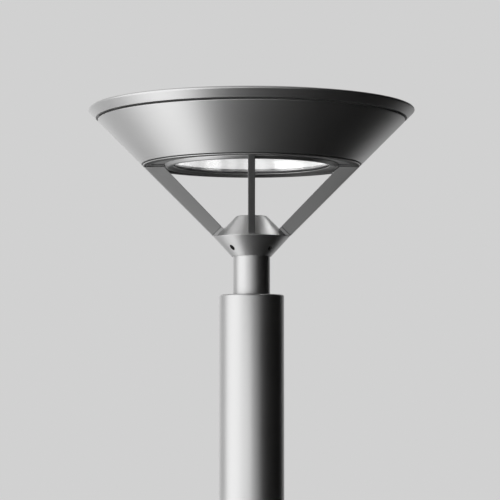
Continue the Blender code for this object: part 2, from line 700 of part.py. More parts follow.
def make_equipment(steel, plastic, brass):
    """The rail on the rear wall behind the door, with the fuse box and the earth stud."""
    wall = POLE_BORE - CLEARANCE
    rail_back = RAIL_FRONT + RAIL_THICKNESS
    top = RAIL_BOTTOM + RAIL_LENGTH
    outline = [
        (RAIL_FRONT, RAIL_BOTTOM),
        (POLE_RADIUS, RAIL_BOTTOM),
        (POLE_RADIUS, RAIL_BOTTOM + RAIL_FOOT_HEIGHT),
        (rail_back, RAIL_BOTTOM + RAIL_FOOT_HEIGHT),
        (rail_back, top - RAIL_FOOT_HEIGHT),
        (POLE_RADIUS, top - RAIL_FOOT_HEIGHT),
        (POLE_RADIUS, top),
        (RAIL_FRONT, top),
    ]
    rail = piece("equipment_rail", extruded("rail", outline, RAIL_WIDTH / 2, "YZ"), steel)
    bore = rods("pole_bore", [((0, 0, 0), (0, 0, POLE_TOP))], 2 * wall, POLE_STEPS)
    combine(rail, "INTERSECT", bore)

    half = FUSE_BOX_WIDTH / 2
    low = RAIL_BOTTOM + FUSE_BOX_RISE
    high = low + FUSE_BOX_HEIGHT
    back = RAIL_FRONT - CLEARANCE
    front = back - FUSE_BOX_DEPTH
    span = ((-half, front, low), (half, back, high))
    piece("fuse_box", boxes("fuse_box", [span], FUSE_BOX_CORNER_RADIUS, "Y"), plastic)
    cover_back = front - CLEARANCE
    cover_front = cover_back - FUSE_COVER_DEPTH
    span = ((-half, cover_front, low), (half, cover_back, high))
    piece("fuse_box_cover", boxes("fuse_box_cover", [span], FUSE_BOX_CORNER_RADIUS, "Y"), plastic)

    middle = (front + back) / 2
    under = low - CLEARANCE
    for place, x in (("left", -GLAND_PITCH / 2), ("right", GLAND_PITCH / 2)):
        span = ((x, middle, under - GLAND_LENGTH), (x, middle, under))
        piece(f"fuse_box_gland_{place}", rods("gland", [span], GLAND_DIAMETER), plastic)

    stud = [
        (0, EARTH_STUD_LENGTH),
        (EARTH_STUD_DIAMETER / 2, EARTH_STUD_LENGTH),
        (EARTH_STUD_DIAMETER / 2, EARTH_NUT_THICKNESS),
        (EARTH_NUT_DIAMETER / 2, EARTH_NUT_THICKNESS),
        (EARTH_NUT_DIAMETER / 2, 0),
        (0, 0),
    ]
    facing = Matrix.Rotation(math.radians(90), 4, "X")
    place = Matrix.Translation((0, RAIL_FRONT - CLEARANCE, RAIL_BOTTOM + EARTH_STUD_RISE)) @ facing
    piece("earth_stud", copies("earth_stud", turned_mesh("stud", stud, 6), [place]), brass)


def arm_point(along, across):
    """(radius, height) of a point given along an arm and across it, measured inwards from the cone."""
    run = Vector((math.sin(CONE_ANGLE), math.cos(CONE_ANGLE)))
    inward = Vector((-math.cos(CONE_ANGLE), math.sin(CONE_ANGLE)))
    start = Vector((HUB_RIM_RADIUS, HUB_RIM))
    return tuple(start + run * along + inward * across)


def pad_face():
    """Distance along an arm from the hub's rim to the face of its pad."""
    run = Vector((math.sin(CONE_ANGLE), math.cos(CONE_ANGLE)))
    ledge = Vector((-HUB_LEDGE_WIDTH, HUB_LEDGE_RISE))
    return ledge.dot(run) + PAD_HEIGHT


def arm_line(start, end):
    """End points of a bar along the middle of an arm on +X, between two distances from the hub's rim."""
    spans = [arm_point(distance, ARM_DEPTH_HUB / 2) for distance in (start, end)]
    return [(radius, 0, height) for radius, height in spans]


def lower_screw_place():
    """Frame of an arm's lower screw, with its seat at the origin and its head towards the axis."""
    seat, beyond = arm_line(pad_face() - LOWER_SCREW_WALL, pad_face())
    run = Vector(seat) - Vector(beyond)
    return Matrix.Translation(seat) @ run.to_track_quat("Z", "Y").to_matrix().to_4x4()


def make_hub(paint, steel, head_pivot):
    """Double cone with four arm pads, bored for the spigot and drilled for its screws."""
    inset = HUB_TOP_EDGE_RADIUS * math.tan(CONE_ANGLE / 2)
    corner = (HUB_TOP_RADIUS - inset, HUB_TOP - HUB_TOP_EDGE_RADIUS)
    chamber = HUB_CHAMBER_DIAMETER / 2
    seat = SPIGOT_TOP + CLEARANCE
    profile = [(0, HUB_TOP), *arc(corner, HUB_TOP_EDGE_RADIUS, 90, 90 - math.degrees(CONE_ANGLE), 3)]
    profile += [
        (HUB_LEDGE_RADIUS, HUB_RIM + HUB_LEDGE_RISE),
        (HUB_RIM_RADIUS - HUB_LEDGE_RISE, HUB_RIM + HUB_LEDGE_RISE),
        (HUB_RIM_RADIUS, HUB_RIM),
        (HUB_BOTTOM_RADIUS, HUB_BOTTOM),
        (HUB_BORE, HUB_BOTTOM),
        (HUB_BORE, seat),
        (chamber, seat),
        (chamber, HUB_TOP - HUB_ROOF),
        (0, HUB_TOP - HUB_ROOF),
    ]
    hub = piece("hub_casting", turned_mesh("hub_casting", profile, HUB_STEPS), paint, head_pivot)

    face = pad_face() - CLEARANCE
    root = face - PAD_HEIGHT - PAD_ROOT
    corners = [(root, CLEARANCE), (face, CLEARANCE), (face, ARM_DEPTH_HUB), (root, ARM_DEPTH_HUB)]
    pad = extruded("pad", [arm_point(*corner) for corner in corners], ARM_THICKNESS / 2, "XZ")
    turns = around(ARM_AZIMUTHS.values(), Matrix())
    combine(hub, "UNION", copies("pads", pad, turns))

    play = 2 * CLEARANCE
    reach = LOWER_SCREW_WALL + LOWER_SCREW_GRIP
    bore = screw_profile(
        LOWER_SCREW_DIAMETER + play, reach, LOWER_SCREW_HEAD_DIAMETER + play, HUB_BORE, 0, 0
    )[3:]
    cutter = turned_mesh("lower_bore", [(0, HUB_BORE), *bore], SCREW_STEPS)
    places = around(ARM_AZIMUTHS.values(), lower_screw_place())
    combine(hub, "DIFFERENCE", copies("lower_bores", cutter, places))

    inner, outer = (HUB_BORE - SPIGOT_WALL, 0, SET_SCREW_HEIGHT), (HUB_RIM_RADIUS, 0, SET_SCREW_HEIGHT)
    hole = rods("set_hole", [(inner, outer)], SET_SCREW_DIAMETER + play)
    combine(hub, "DIFFERENCE", copies("set_holes", hole, around(BETWEEN_ARMS.values(), Matrix())))

    tip = (HUB_BORE + CLEARANCE, 0, SET_SCREW_HEIGHT)
    end = (tip[0] + SET_SCREW_LENGTH, 0, SET_SCREW_HEIGHT)
    socket = rods(
        "set_socket", [((end[0] - SET_SCREW_SOCKET_DEPTH, 0, end[2]), outer)],
        SET_SCREW_SOCKET_WIDTH / math.cos(math.radians(30)), 6,
    )
    screw = carved(rods("set_screw", [(tip, end)], SET_SCREW_DIAMETER), socket)
    pattern("hub_set_screw", screw, steel, head_pivot, BETWEEN_ARMS)


def make_arms(paint, steel, head_pivot):
    """Four flat bars from the hub's pads to the underside of the head, and their screws."""
    top = UNDERSIDE_HEIGHT - CLEARANCE
    run = (top - HUB_RIM) / math.cos(CONE_ANGLE)
    corners = [
        arm_point(pad_face(), 0),
        arm_point(run, 0),
        (BEZEL_OUTER_RADIUS + ARM_BEZEL_GAP, top),
        arm_point(pad_face(), ARM_DEPTH_HUB),
    ]
    bar = extruded("arm", corners, ARM_THICKNESS / 2, "XZ")
    drawing = bmesh.new()
    drawing.from_mesh(bar)
    long_edges = [edge for edge in drawing.edges if edge.calc_length() > run / 2]
    bmesh.ops.bevel(
        drawing, geom=long_edges, offset=ARM_EDGE_RADIUS, segments=2, profile=0.5, affect="EDGES"
    )
    drawing.to_mesh(bar)
    drawing.free()

    play = 2 * CLEARANCE
    lower = arm_line(pad_face() - PAD_HEIGHT, pad_face() + LOWER_SCREW_GRIP + CLEARANCE)
    lower_hole = rods("lower_hole", [lower], LOWER_SCREW_DIAMETER + play, SCREW_STEPS)
    deep = top - UPPER_SCREW_GRIP - CLEARANCE
    upper = ((UPPER_SCREW_RADIUS, 0, deep), (UPPER_SCREW_RADIUS, 0, HOUSING_TOP))
    upper_hole = rods("upper_hole", [upper], UPPER_SCREW_DIAMETER + play, SCREW_STEPS)
    pattern("arm", carved(bar, lower_hole, upper_hole), paint, head_pivot, ARM_AZIMUTHS)

    shape = screw_profile(
        LOWER_SCREW_DIAMETER, LOWER_SCREW_WALL + LOWER_SCREW_GRIP, LOWER_SCREW_HEAD_DIAMETER,
        LOWER_SCREW_HEAD_HEIGHT, LOWER_SCREW_DIAMETER * SOCKET_SHARE, LOWER_SCREW_HEAD_HEIGHT / 2,
    )
    place = lower_screw_place() @ Matrix.Translation((0, 0, CLEARANCE))
    mesh = copies("arm_screw_lower", turned_mesh("lower_screw", shape, SCREW_STEPS), [place])
    pattern("arm_screw_lower", mesh, steel, head_pivot, ARM_AZIMUTHS)

    seat = HOUSING_FLOOR + CLEARANCE
    shape = screw_profile(
        UPPER_SCREW_DIAMETER, seat - top + UPPER_SCREW_GRIP, UPPER_SCREW_HEAD_DIAMETER,
        UPPER_SCREW_HEAD_HEIGHT, UPPER_SCREW_DIAMETER * SOCKET_SHARE, UPPER_SCREW_HEAD_HEIGHT / 2,
    )
    place = Matrix.Translation((UPPER_SCREW_RADIUS, 0, seat))
    mesh = copies("arm_screw_upper", turned_mesh("upper_screw", shape, SCREW_STEPS), [place])
    pattern("arm_screw_upper", mesh, steel, head_pivot, ARM_AZIMUTHS)


def arm_screw_holes():
    """Cutter for the arms' upper screws where they pass the lower ring and the housing's base."""
    way = ((UPPER_SCREW_RADIUS, 0, HUB_TOP), (UPPER_SCREW_RADIUS, 0, HOUSING_FLOOR + HOUSING_BASE))
    hole = rods("arm_screw_hole", [way], UPPER_SCREW_DIAMETER + 2 * CLEARANCE, SCREW_STEPS)
    return copies("arm_screw_holes", hole, around(ARM_AZIMUTHS.values(), Matrix()))


def lug(name, root, start, end, width, offset):
    """A hinge eye with a web to its root points, centred at an offset along the pin."""
    outline = arc((HINGE_RADIUS, HINGE_HEIGHT), HINGE_EYE_RADIUS, start, end, 8) + root
    mesh = extruded(name, outline, width / 2, "YZ")
    mesh.transform(Matrix.Translation((offset, 0, 0)))
    return mesh


def pin_bore():
    """Cutter along the hinge pin."""
    reach = HINGE_EYE_WIDTH + 2 * HINGE_SIDE_EYE_WIDTH
    ends = [(side * reach, HINGE_RADIUS, HINGE_HEIGHT) for side in (-1, 1)]
    return rods("pin_bore", [ends], HINGE_PIN_DIAMETER + 2 * CLEARANCE)


def lid_screw_places(height):
    """Places of the captive lid screws, spread to both sides of the front."""
    return around(LID_SCREW_AZIMUTHS.values(), Matrix.Translation((LID_SCREW_RADIUS, 0, height)))


def roof_height(radius):
    """Height of the roof's outer face, a shallow dome that starts at the rim."""
    return LID_RIM + LID_ROOF_RISE * (1 - (radius / LID_ROOF_RADIUS) ** 2)


def make_housing(paint, rubber, head_pivot):
    """The conical shell, the ring and arm seats below it and the seal on its top land."""
    edge = UNDERSIDE_HEIGHT + LOWER_RING_EDGE
    inner = UNDERSIDE_RADIUS - LOWER_RING_WIDTH
    seat = HOUSING_BOTTOM - CLEARANCE
    bevel = LOWER_RING_BEVEL
    step = cone_radius(edge) - LOWER_SEAM_DEPTH
    profile = [
        (step, seat),
        (step, edge),
        (cone_radius(edge), edge),
        (cone_radius(UNDERSIDE_HEIGHT + bevel), UNDERSIDE_HEIGHT + bevel),
        (UNDERSIDE_RADIUS - bevel, UNDERSIDE_HEIGHT),
        (inner, UNDERSIDE_HEIGHT),
        (inner, seat),
    ]
    ring = piece("lower_ring", turned_mesh("lower_ring", profile, HEAD_STEPS), paint, head_pivot)
    low = (BEZEL_OUTER_RADIUS + ARM_BEZEL_GAP, -ARM_THICKNESS / 2, UNDERSIDE_HEIGHT)
    high = (inner + LOWER_RING_WIDTH / 3, ARM_THICKNESS / 2, seat)
    foot = boxes("arm_seat", [(low, high)])
    combine(ring, "UNION", copies("arm_seats", foot, around(ARM_AZIMUTHS.values(), Matrix())))
    combine(ring, "DIFFERENCE", arm_screw_holes())

    inner = BEZEL_OUTER_RADIUS + BEZEL_FIT
    thick = HOUSING_WALL / math.cos(CONE_ANGLE)
    ceiling = HOUSING_TOP - HOUSING_LAND
    profile = [
        (LAND_INNER_RADIUS, HOUSING_TOP),
        (cone_radius(HOUSING_TOP), HOUSING_TOP),
        (cone_radius(HOUSING_BOTTOM), HOUSING_BOTTOM),
        (inner, HOUSING_BOTTOM),
        (inner, HOUSING_FLOOR),
        (cone_radius(HOUSING_FLOOR) - thick, HOUSING_FLOOR),
        (cone_radius(ceiling) - thick, ceiling),
        (LAND_INNER_RADIUS, ceiling),
    ]
    shell = piece("housing_shell", turned_mesh("housing_shell", profile, HEAD_STEPS), paint, head_pivot)
    low = HOUSING_TOP - HINGE_WEB_DROP
    root = [
        (cone_radius(low) - HINGE_ROOT_DEPTH, low),
        (cone_radius(HOUSING_TOP) - HINGE_ROOT_DEPTH, HOUSING_TOP - CLEARANCE),
    ]
    place = HINGE_EYE_WIDTH / 2 + CLEARANCE + HINGE_SIDE_EYE_WIDTH / 2
    for side in (-1, 1):
        eye = lug("side_eye", root, 180, -90, HINGE_SIDE_EYE_WIDTH, side * place)
        combine(shell, "UNION", eye)
    combine(shell, "DIFFERENCE", pin_bore())
    combine(shell, "DIFFERENCE", arm_screw_holes())
    way = ((0, 0, -HOUSING_LAND), (0, 0, HOUSING_LAND))
    hole = rods("lid_screw_hole", [way], LID_SCREW_DIAMETER + 2 * LID_SCREW_PLAY)
    places = lid_screw_places(HOUSING_TOP - HOUSING_LAND / 2)
    combine(shell, "DIFFERENCE", copies("lid_screw_holes", hole, places))

    seal = tube_profile(LID_GASKET_OUTER_RADIUS, LID_GASKET_INNER_RADIUS, HOUSING_TOP + CLEARANCE,
                        LID_BOTTOM - CLEARANCE)
    piece("lid_gasket", turned_mesh("lid_gasket", seal, GLASS_STEPS), rubber, head_pivot)


def make_lid(paint, steel, head_pivot, lid_pivot):
    """The roof with its conical band, hinge eye and captive screws, and the hinge pin."""
    flange = LAND_INNER_RADIUS
    steps = LID_ROOF_STEPS
    radii = [LID_ROOF_RADIUS * step / steps for step in range(steps)]
    rim = (LID_ROOF_RADIUS, LID_RIM - LID_RIM_EDGE_RADIUS)
    profile = [(radius, roof_height(radius)) for radius in radii]
    profile += arc(rim, LID_RIM_EDGE_RADIUS, 84, -math.degrees(CONE_ANGLE), 4)
    profile += [(cone_radius(LID_BOTTOM), LID_BOTTOM), (flange, LID_BOTTOM)]
    under = [flange * (steps - step) / steps for step in range(steps + 1)]
    profile += [(radius, roof_height(radius) - LID_ROOF_THICKNESS) for radius in under]
    lid = piece("lid", turned_mesh("lid", profile, HEAD_STEPS), paint, lid_pivot, -LID_AXIS)
    high = LID_BOTTOM + HINGE_WEB_RISE
    root = [
        (cone_radius(high) - HINGE_ROOT_DEPTH, high),
        (cone_radius(LID_BOTTOM) - HINGE_ROOT_DEPTH, LID_BOTTOM + CLEARANCE),
    ]
    combine(lid, "UNION", lug("lid_eye", root, -180, 60, HINGE_EYE_WIDTH, 0))
    combine(lid, "DIFFERENCE", pin_bore())

    seat = roof_height(LID_SCREW_RADIUS) - LID_SCREW_RECESS - LID_SCREW_HEAD_HEIGHT
    length = seat - HOUSING_TOP + HOUSING_LAND + LID_SCREW_TIP
    play = 2 * CLEARANCE
    way = screw_profile(
        LID_SCREW_DIAMETER + play, length, LID_SCREW_HEAD_DIAMETER + play, LID_ROOF_RISE, 0, 0
    )[3:]
    hole = turned_mesh("lid_screw_way", [(0, LID_ROOF_RISE), *way], ROUND_STEPS)
    combine(lid, "DIFFERENCE", copies("lid_screw_ways", hole, lid_screw_places(seat)))
    shape = screw_profile(
        LID_SCREW_DIAMETER, length, LID_SCREW_HEAD_DIAMETER, LID_SCREW_HEAD_HEIGHT,
        LID_SCREW_DIAMETER * SOCKET_SHARE, LID_SCREW_HEAD_HEIGHT / 2,
    )
    place = Matrix.Translation((LID_SCREW_RADIUS, 0, seat + CLEARANCE))
    mesh = copies("lid_screw", turned_mesh("lid_screw", shape, SCREW_STEPS), [place])
    pattern("lid_screw", mesh, steel, lid_pivot, LID_SCREW_AZIMUTHS, -LID_AXIS)

    reach = HINGE_EYE_WIDTH / 2 + HINGE_SIDE_EYE_WIDTH + 2 * CLEARANCE
    profile = [
        (0, reach + HINGE_HEAD_THICKNESS),
        (HINGE_HEAD_DIAMETER / 2, reach + HINGE_HEAD_THICKNESS),
        (HINGE_HEAD_DIAMETER / 2, reach),
        (HINGE_PIN_DIAMETER / 2, reach),
        (HINGE_PIN_DIAMETER / 2, -reach),
        (HINGE_HEAD_DIAMETER / 2, -reach),
        (HINGE_HEAD_DIAMETER / 2, -reach - HINGE_HEAD_THICKNESS),
        (0, -reach - HINGE_HEAD_THICKNESS),
    ]
    place = Matrix.Translation(LID_AXIS) @ Matrix.Rotation(math.radians(90), 4, "Y")
    mesh = copies("hinge_pin", turned_mesh("pin", profile, SCREW_STEPS), [place])
    piece("hinge_pin", mesh, steel, head_pivot)


def make_glazing(paint, rubber, glass, steel, head_pivot):
    """The bezel dropped through the housing's base, with the glass clamped on its ledge."""
    bottom = HOUSING_BOTTOM - BEZEL_DROP
    flange_low = HOUSING_FLOOR + CLEARANCE
    inner_lip = BEZEL_LIP_RADIUS - BEZEL_LIP_WIDTH
    bulge = (BEZEL_OUTER_RADIUS + BEZEL_LIP_RADIUS + BEZEL_LIP_WIDTH / 2) / 2
    profile = [
        (BEZEL_FLANGE_RADIUS, BEZEL_FLANGE_TOP),
        (BEZEL_FLANGE_RADIUS, flange_low),
        (BEZEL_OUTER_RADIUS, flange_low),
        (BEZEL_OUTER_RADIUS, HOUSING_BOTTOM),
        (bulge, HOUSING_BOTTOM - BEZEL_DROP / 2),
        (BEZEL_LIP_RADIUS, bottom),
        (inner_lip, bottom),
        (BEZEL_OPENING_RADIUS, BEZEL_LEDGE - BEZEL_LIP_WIDTH / 3),
        (BEZEL_OPENING_RADIUS, BEZEL_LEDGE),
        (BEZEL_WELL_RADIUS, BEZEL_LEDGE),
        (BEZEL_WELL_RADIUS, BEZEL_FLANGE_TOP),
    ]
    piece("glass_bezel", turned_mesh("glass_bezel", profile, GLASS_STEPS), paint, head_pivot)

    low = BEZEL_LEDGE + CLEARANCE
    high = low + GLASS_GASKET_THICKNESS
    seal = tube_profile(GLASS_RADIUS, BEZEL_OPENING_RADIUS + CLEARANCE, low, high)
    piece("glass_gasket", turned_mesh("glass_gasket", seal, GLASS_STEPS), rubber, head_pivot)
    low = high + CLEARANCE
    pane = disc_profile(GLASS_RADIUS, low, low + GLASS_THICKNESS)
    piece("glass_pane", turned_mesh("glass_pane", pane, GLASS_STEPS), glass, head_pivot)

    ring = tube_profile(BEZEL_FLANGE_RADIUS, RETAINER_INNER_RADIUS, RETAINER_BOTTOM, RETAINER_TOP)
    piece("glass_retainer", turned_mesh("glass_retainer", ring, GLASS_STEPS), steel, head_pivot)


def make_light(mirror, board, metal, head_pivot):
    """The faceted bowl reflector, and the board of light emitting diodes below the tray."""
    low = RETAINER_TOP + CLEARANCE
    high = TRAY_BOTTOM - CLEARANCE
    mouth = RETAINER_INNER_RADIUS
    outer = []
    for step in range(REFLECTOR_CURVE_STEPS + 1):
        angle = math.radians(90) * (1 - step / REFLECTOR_CURVE_STEPS)
        radius = REFLECTOR_TOP_RADIUS + (mouth - REFLECTOR_TOP_RADIUS) * math.cos(angle)
        outer.append((radius, low + (high - low) * math.sin(angle)))
    wall = REFLECTOR_WALL
    inner = [(radius - wall, height - wall) for radius, height in reversed(outer[:-1])]
    foot = mouth + REFLECTOR_FLANGE_WIDTH
    profile = outer[:-1] + [(mouth, low + wall), (foot, low + wall), (foot, low)]
    profile += [(mouth - wall, low)] + inner
    bowl = turned_mesh("reflector", profile, REFLECTOR_FACETS)
    piece("reflector", bowl, mirror, head_pivot)

    top = TRAY_BOTTOM - CLEARANCE
    under = top - BOARD_THICKNESS
    disc = turned_mesh("led_board", disc_profile(BOARD_RADIUS, under, top), HEAD_STEPS)
    lights = piece("led_board", disc, board, head_pivot)
    high = under + BOARD_THICKNESS / 2
    low = under - CHIP_THICKNESS
    half = CHIP_SIZE / 2
    spans = [((-half, -half, low), (half, half, high))]
    for ring in range(1, CHIP_RINGS + 1):
        for number in range(6 * ring):
            angle = math.radians(360) * number / (6 * ring)
            x = ring * CHIP_RING_PITCH * math.cos(angle)
            y = ring * CHIP_RING_PITCH * math.sin(angle)
            spans.append(((x - half, y - half, low), (x + half, y + half, high)))
    combine(lights, "UNION", boxes("led_chips", spans))

    fins = comb_outline(SINK_SIDE, SINK_BASE, SINK_HEIGHT, SINK_FINS, SINK_FIN_THICKNESS)
    mesh = extruded("heat_sink", [(x, GEAR_FLOOR + z) for x, z in fins], SINK_SIDE / 2, "XZ")
    piece("heat_sink", mesh, metal, head_pivot)


def make_gear(metal, plastic, head_pivot):
    """The tray on its posts, with the driver, the terminal block and the surge protector."""
    mesh = turned_mesh("gear_tray", disc_profile(TRAY_RADIUS, TRAY_BOTTOM, TRAY_TOP), GLASS_STEPS)
    tray = piece("gear_tray", mesh, metal, head_pivot)
    low, high = TRAY_BOTTOM - TRAY_THICKNESS, TRAY_TOP + TRAY_THICKNESS
    way = ((TRAY_POST_RADIUS, 0, low), (TRAY_POST_RADIUS, 0, high))
    hole = rods("tray_hole", [way], TRAY_STUD_DIAMETER + 2 * CLEARANCE)
    combine(tray, "DIFFERENCE", copies("tray_holes", hole, around(BETWEEN_ARMS.values(), Matrix())))

    shoulder = TRAY_BOTTOM - CLEARANCE
    profile = [
        (0, TRAY_TOP + TRAY_STUD_LENGTH),
        (TRAY_STUD_DIAMETER / 2, TRAY_TOP + TRAY_STUD_LENGTH),
        (TRAY_STUD_DIAMETER / 2, shoulder),
        (TRAY_POST_DIAMETER / 2, shoulder),
        (TRAY_POST_DIAMETER / 2, HOUSING_FLOOR + CLEARANCE),
        (0, HOUSING_FLOOR + CLEARANCE),
    ]
    place = Matrix.Translation((TRAY_POST_RADIUS, 0, 0))
    post = copies("tray_post", turned_mesh("post", profile, SCREW_STEPS), [place])
    pattern("tray_post", post, metal, head_pivot, BETWEEN_ARMS)

    ear = DRIVER_LENGTH / 2
    body = ear - DRIVER_EAR
    outline = [
        (ear, 0),
        (-ear, 0),
        (-ear, DRIVER_EAR_THICKNESS),
        (-body, DRIVER_EAR_THICKNESS),
        (-body, DRIVER_HEIGHT),
        (body, DRIVER_HEIGHT),
        (body, DRIVER_EAR_THICKNESS),
        (ear, DRIVER_EAR_THICKNESS),
    ]
    mesh = extruded("driver", outline, DRIVER_WIDTH / 2, "YZ")
    mesh.transform(Matrix.Translation((-GEAR_RADIUS, 0, GEAR_FLOOR)))
    piece("driver", mesh, plastic, head_pivot)

    teeth = comb_outline(
        TERMINAL_LENGTH, TERMINAL_BASE, TERMINAL_HEIGHT, TERMINAL_POLES, TERMINAL_POLE_WIDTH
    )
    mesh = extruded("terminal_block", teeth, TERMINAL_WIDTH / 2, "YZ")
    mesh.transform(Matrix.Translation((GEAR_RADIUS, -TERMINAL_OFFSET, GEAR_FLOOR)))
    piece("terminal_block", mesh, plastic, head_pivot)

    half = SURGE_LENGTH / 2
    low = (GEAR_RADIUS - SURGE_WIDTH / 2, SURGE_OFFSET - half, GEAR_FLOOR)
    high = (GEAR_RADIUS + SURGE_WIDTH / 2, SURGE_OFFSET + half, GEAR_FLOOR + SURGE_HEIGHT)
    mesh = boxes("surge_protector", [(low, high)], SURGE_CORNER_RADIUS, "Z")
    piece("surge_protector", mesh, plastic, head_pivot)


def main():
    """Build the lamp post from the ground up."""
    clear_scene()
    paint = finish("silver_paint", (0.55, 0.56, 0.57), 0.35, 0.9)
    steel = finish("bright_steel", (0.6, 0.6, 0.6), 0.3, 1.0)
    metal = finish("plain_aluminium", (0.72, 0.73, 0.74), 0.4, 1.0)
    mirror = finish("reflector_aluminium", (0.95, 0.95, 0.95), 0.12, 1.0)
    rubber = finish("black_rubber", (0.02, 0.02, 0.02), 0.7, 0.0)
    glass = finish("clear_glass", (0.95, 0.97, 0.97), 0.03, 0.0)
    plastic = finish("grey_plastic", (0.25, 0.26, 0.27), 0.5, 0.0)
    board = finish("white_board", (0.85, 0.85, 0.83), 0.5, 0.0)
    brass = finish("brass", (0.75, 0.6, 0.3), 0.35, 1.0)

    head_pivot = pivot("head_pivot", HEAD_AXIS)
    lid_pivot = pivot("lid_pivot", LID_AXIS, head_pivot)
    door_pivot = pivot("door_pivot", DOOR_AXIS)
    lock_pivot = pivot("lock_pivot", LOCK_AXIS - DOOR_AXIS, door_pivot)

    make_flange(steel)
    make_post(paint, steel)
    make_door(paint, steel, door_pivot, lock_pivot)
    make_equipment(steel, plastic, brass)
    make_hub(paint, steel, head_pivot)
    make_arms(paint, steel, head_pivot)
    make_housing(paint, rubber, head_pivot)
    make_lid(paint, steel, head_pivot, lid_pivot)
    make_glazing(paint, rubber, glass, steel, head_pivot)
    make_light(mirror, board, metal, head_pivot)
    make_gear(metal, plastic, head_pivot)


main()
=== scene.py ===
"""Studio looks for a street lamp post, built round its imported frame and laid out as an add-on."""

import math

import bmesh
import bpy
from bpy.props import FloatProperty, FloatVectorProperty, IntProperty, PointerProperty
from mathutils import Matrix, Vector


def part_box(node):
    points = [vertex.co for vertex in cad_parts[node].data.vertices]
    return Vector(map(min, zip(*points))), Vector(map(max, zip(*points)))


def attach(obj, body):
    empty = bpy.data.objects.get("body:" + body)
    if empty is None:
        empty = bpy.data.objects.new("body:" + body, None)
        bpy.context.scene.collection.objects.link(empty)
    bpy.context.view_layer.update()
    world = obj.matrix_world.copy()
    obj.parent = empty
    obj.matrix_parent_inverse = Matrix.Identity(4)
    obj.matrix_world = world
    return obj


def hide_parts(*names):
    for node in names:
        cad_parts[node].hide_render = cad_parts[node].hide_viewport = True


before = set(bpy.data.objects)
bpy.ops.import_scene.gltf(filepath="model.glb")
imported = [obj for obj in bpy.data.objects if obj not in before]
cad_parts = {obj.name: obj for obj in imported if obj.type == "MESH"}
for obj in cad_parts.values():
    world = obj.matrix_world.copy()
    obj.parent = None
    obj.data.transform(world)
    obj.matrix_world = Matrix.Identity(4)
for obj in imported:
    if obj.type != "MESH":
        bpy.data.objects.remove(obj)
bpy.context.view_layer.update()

bl_info = {
    "name": "Street Lamp Post",
    "version": (1, 0, 0),
    "blender": (4, 5, 0),
    "location": "3D View > Sidebar > Lamp",
    "description": "Dresses a street lamp post with a conical head, and sets up its studio",
    "category": "Add Mesh",
}

ARMS = {"right": 0.0, "rear": math.radians(90), "left": math.radians(180), "front": math.radians(270)}
BETWEEN_ARMS = [turn + math.radians(45) for turn in ARMS.values()]
LID_SCREWS = {"left": math.radians(200), "front": math.radians(270), "right": math.radians(340)}

# Facets of a rounded corner in a profile, and of the head's large rings
CORNER_STEPS = 4
RING_STEPS = 192

# Gap between pieces that touch, roundings from fine to soft, and how far a cut runs past its piece
FIT = 0.0003
FINE_EDGE = 0.0006
EDGE = 0.0008
SOFT_EDGE = 0.001
PAST = 0.01

# Screws of the lid, and how far they are from the inner edge of the housing's land
LID_SCREW = 0.006
LID_SCREW_HEAD = 0.011
LID_SCREW_HEAD_HEIGHT = 0.005
LID_SCREW_INSET = 0.007

# Hinge of the lid: eyes, bore, pin, how far the pin is outside the cone, and how deep its webs reach in
HINGE_EYE = 0.006
HINGE_BORE = 0.0066
HINGE_PIN = 0.006
HINGE_OUT = 0.0095
HINGE_ROOT = 0.004


def length(name, default, description):
    """A size in metres."""
    return FloatProperty(
        name=name, description=description, default=default, min=0.0, precision=4, subtype="DISTANCE"
    )


def colour(name, default, description):
    """A scene linear colour."""
    return FloatVectorProperty(
        name=name, description=description, default=default, size=3, min=0.0, max=1.0, subtype="COLOR"
    )


def share(name, default, description):
    """A plain number, such as a roughness or a strength."""
    return FloatProperty(name=name, description=description, default=default, min=0.0, precision=3)


def power(name, default, description):
    """The power of a light."""
    return FloatProperty(name=name, description=description, default=default, min=0.0, unit="POWER")


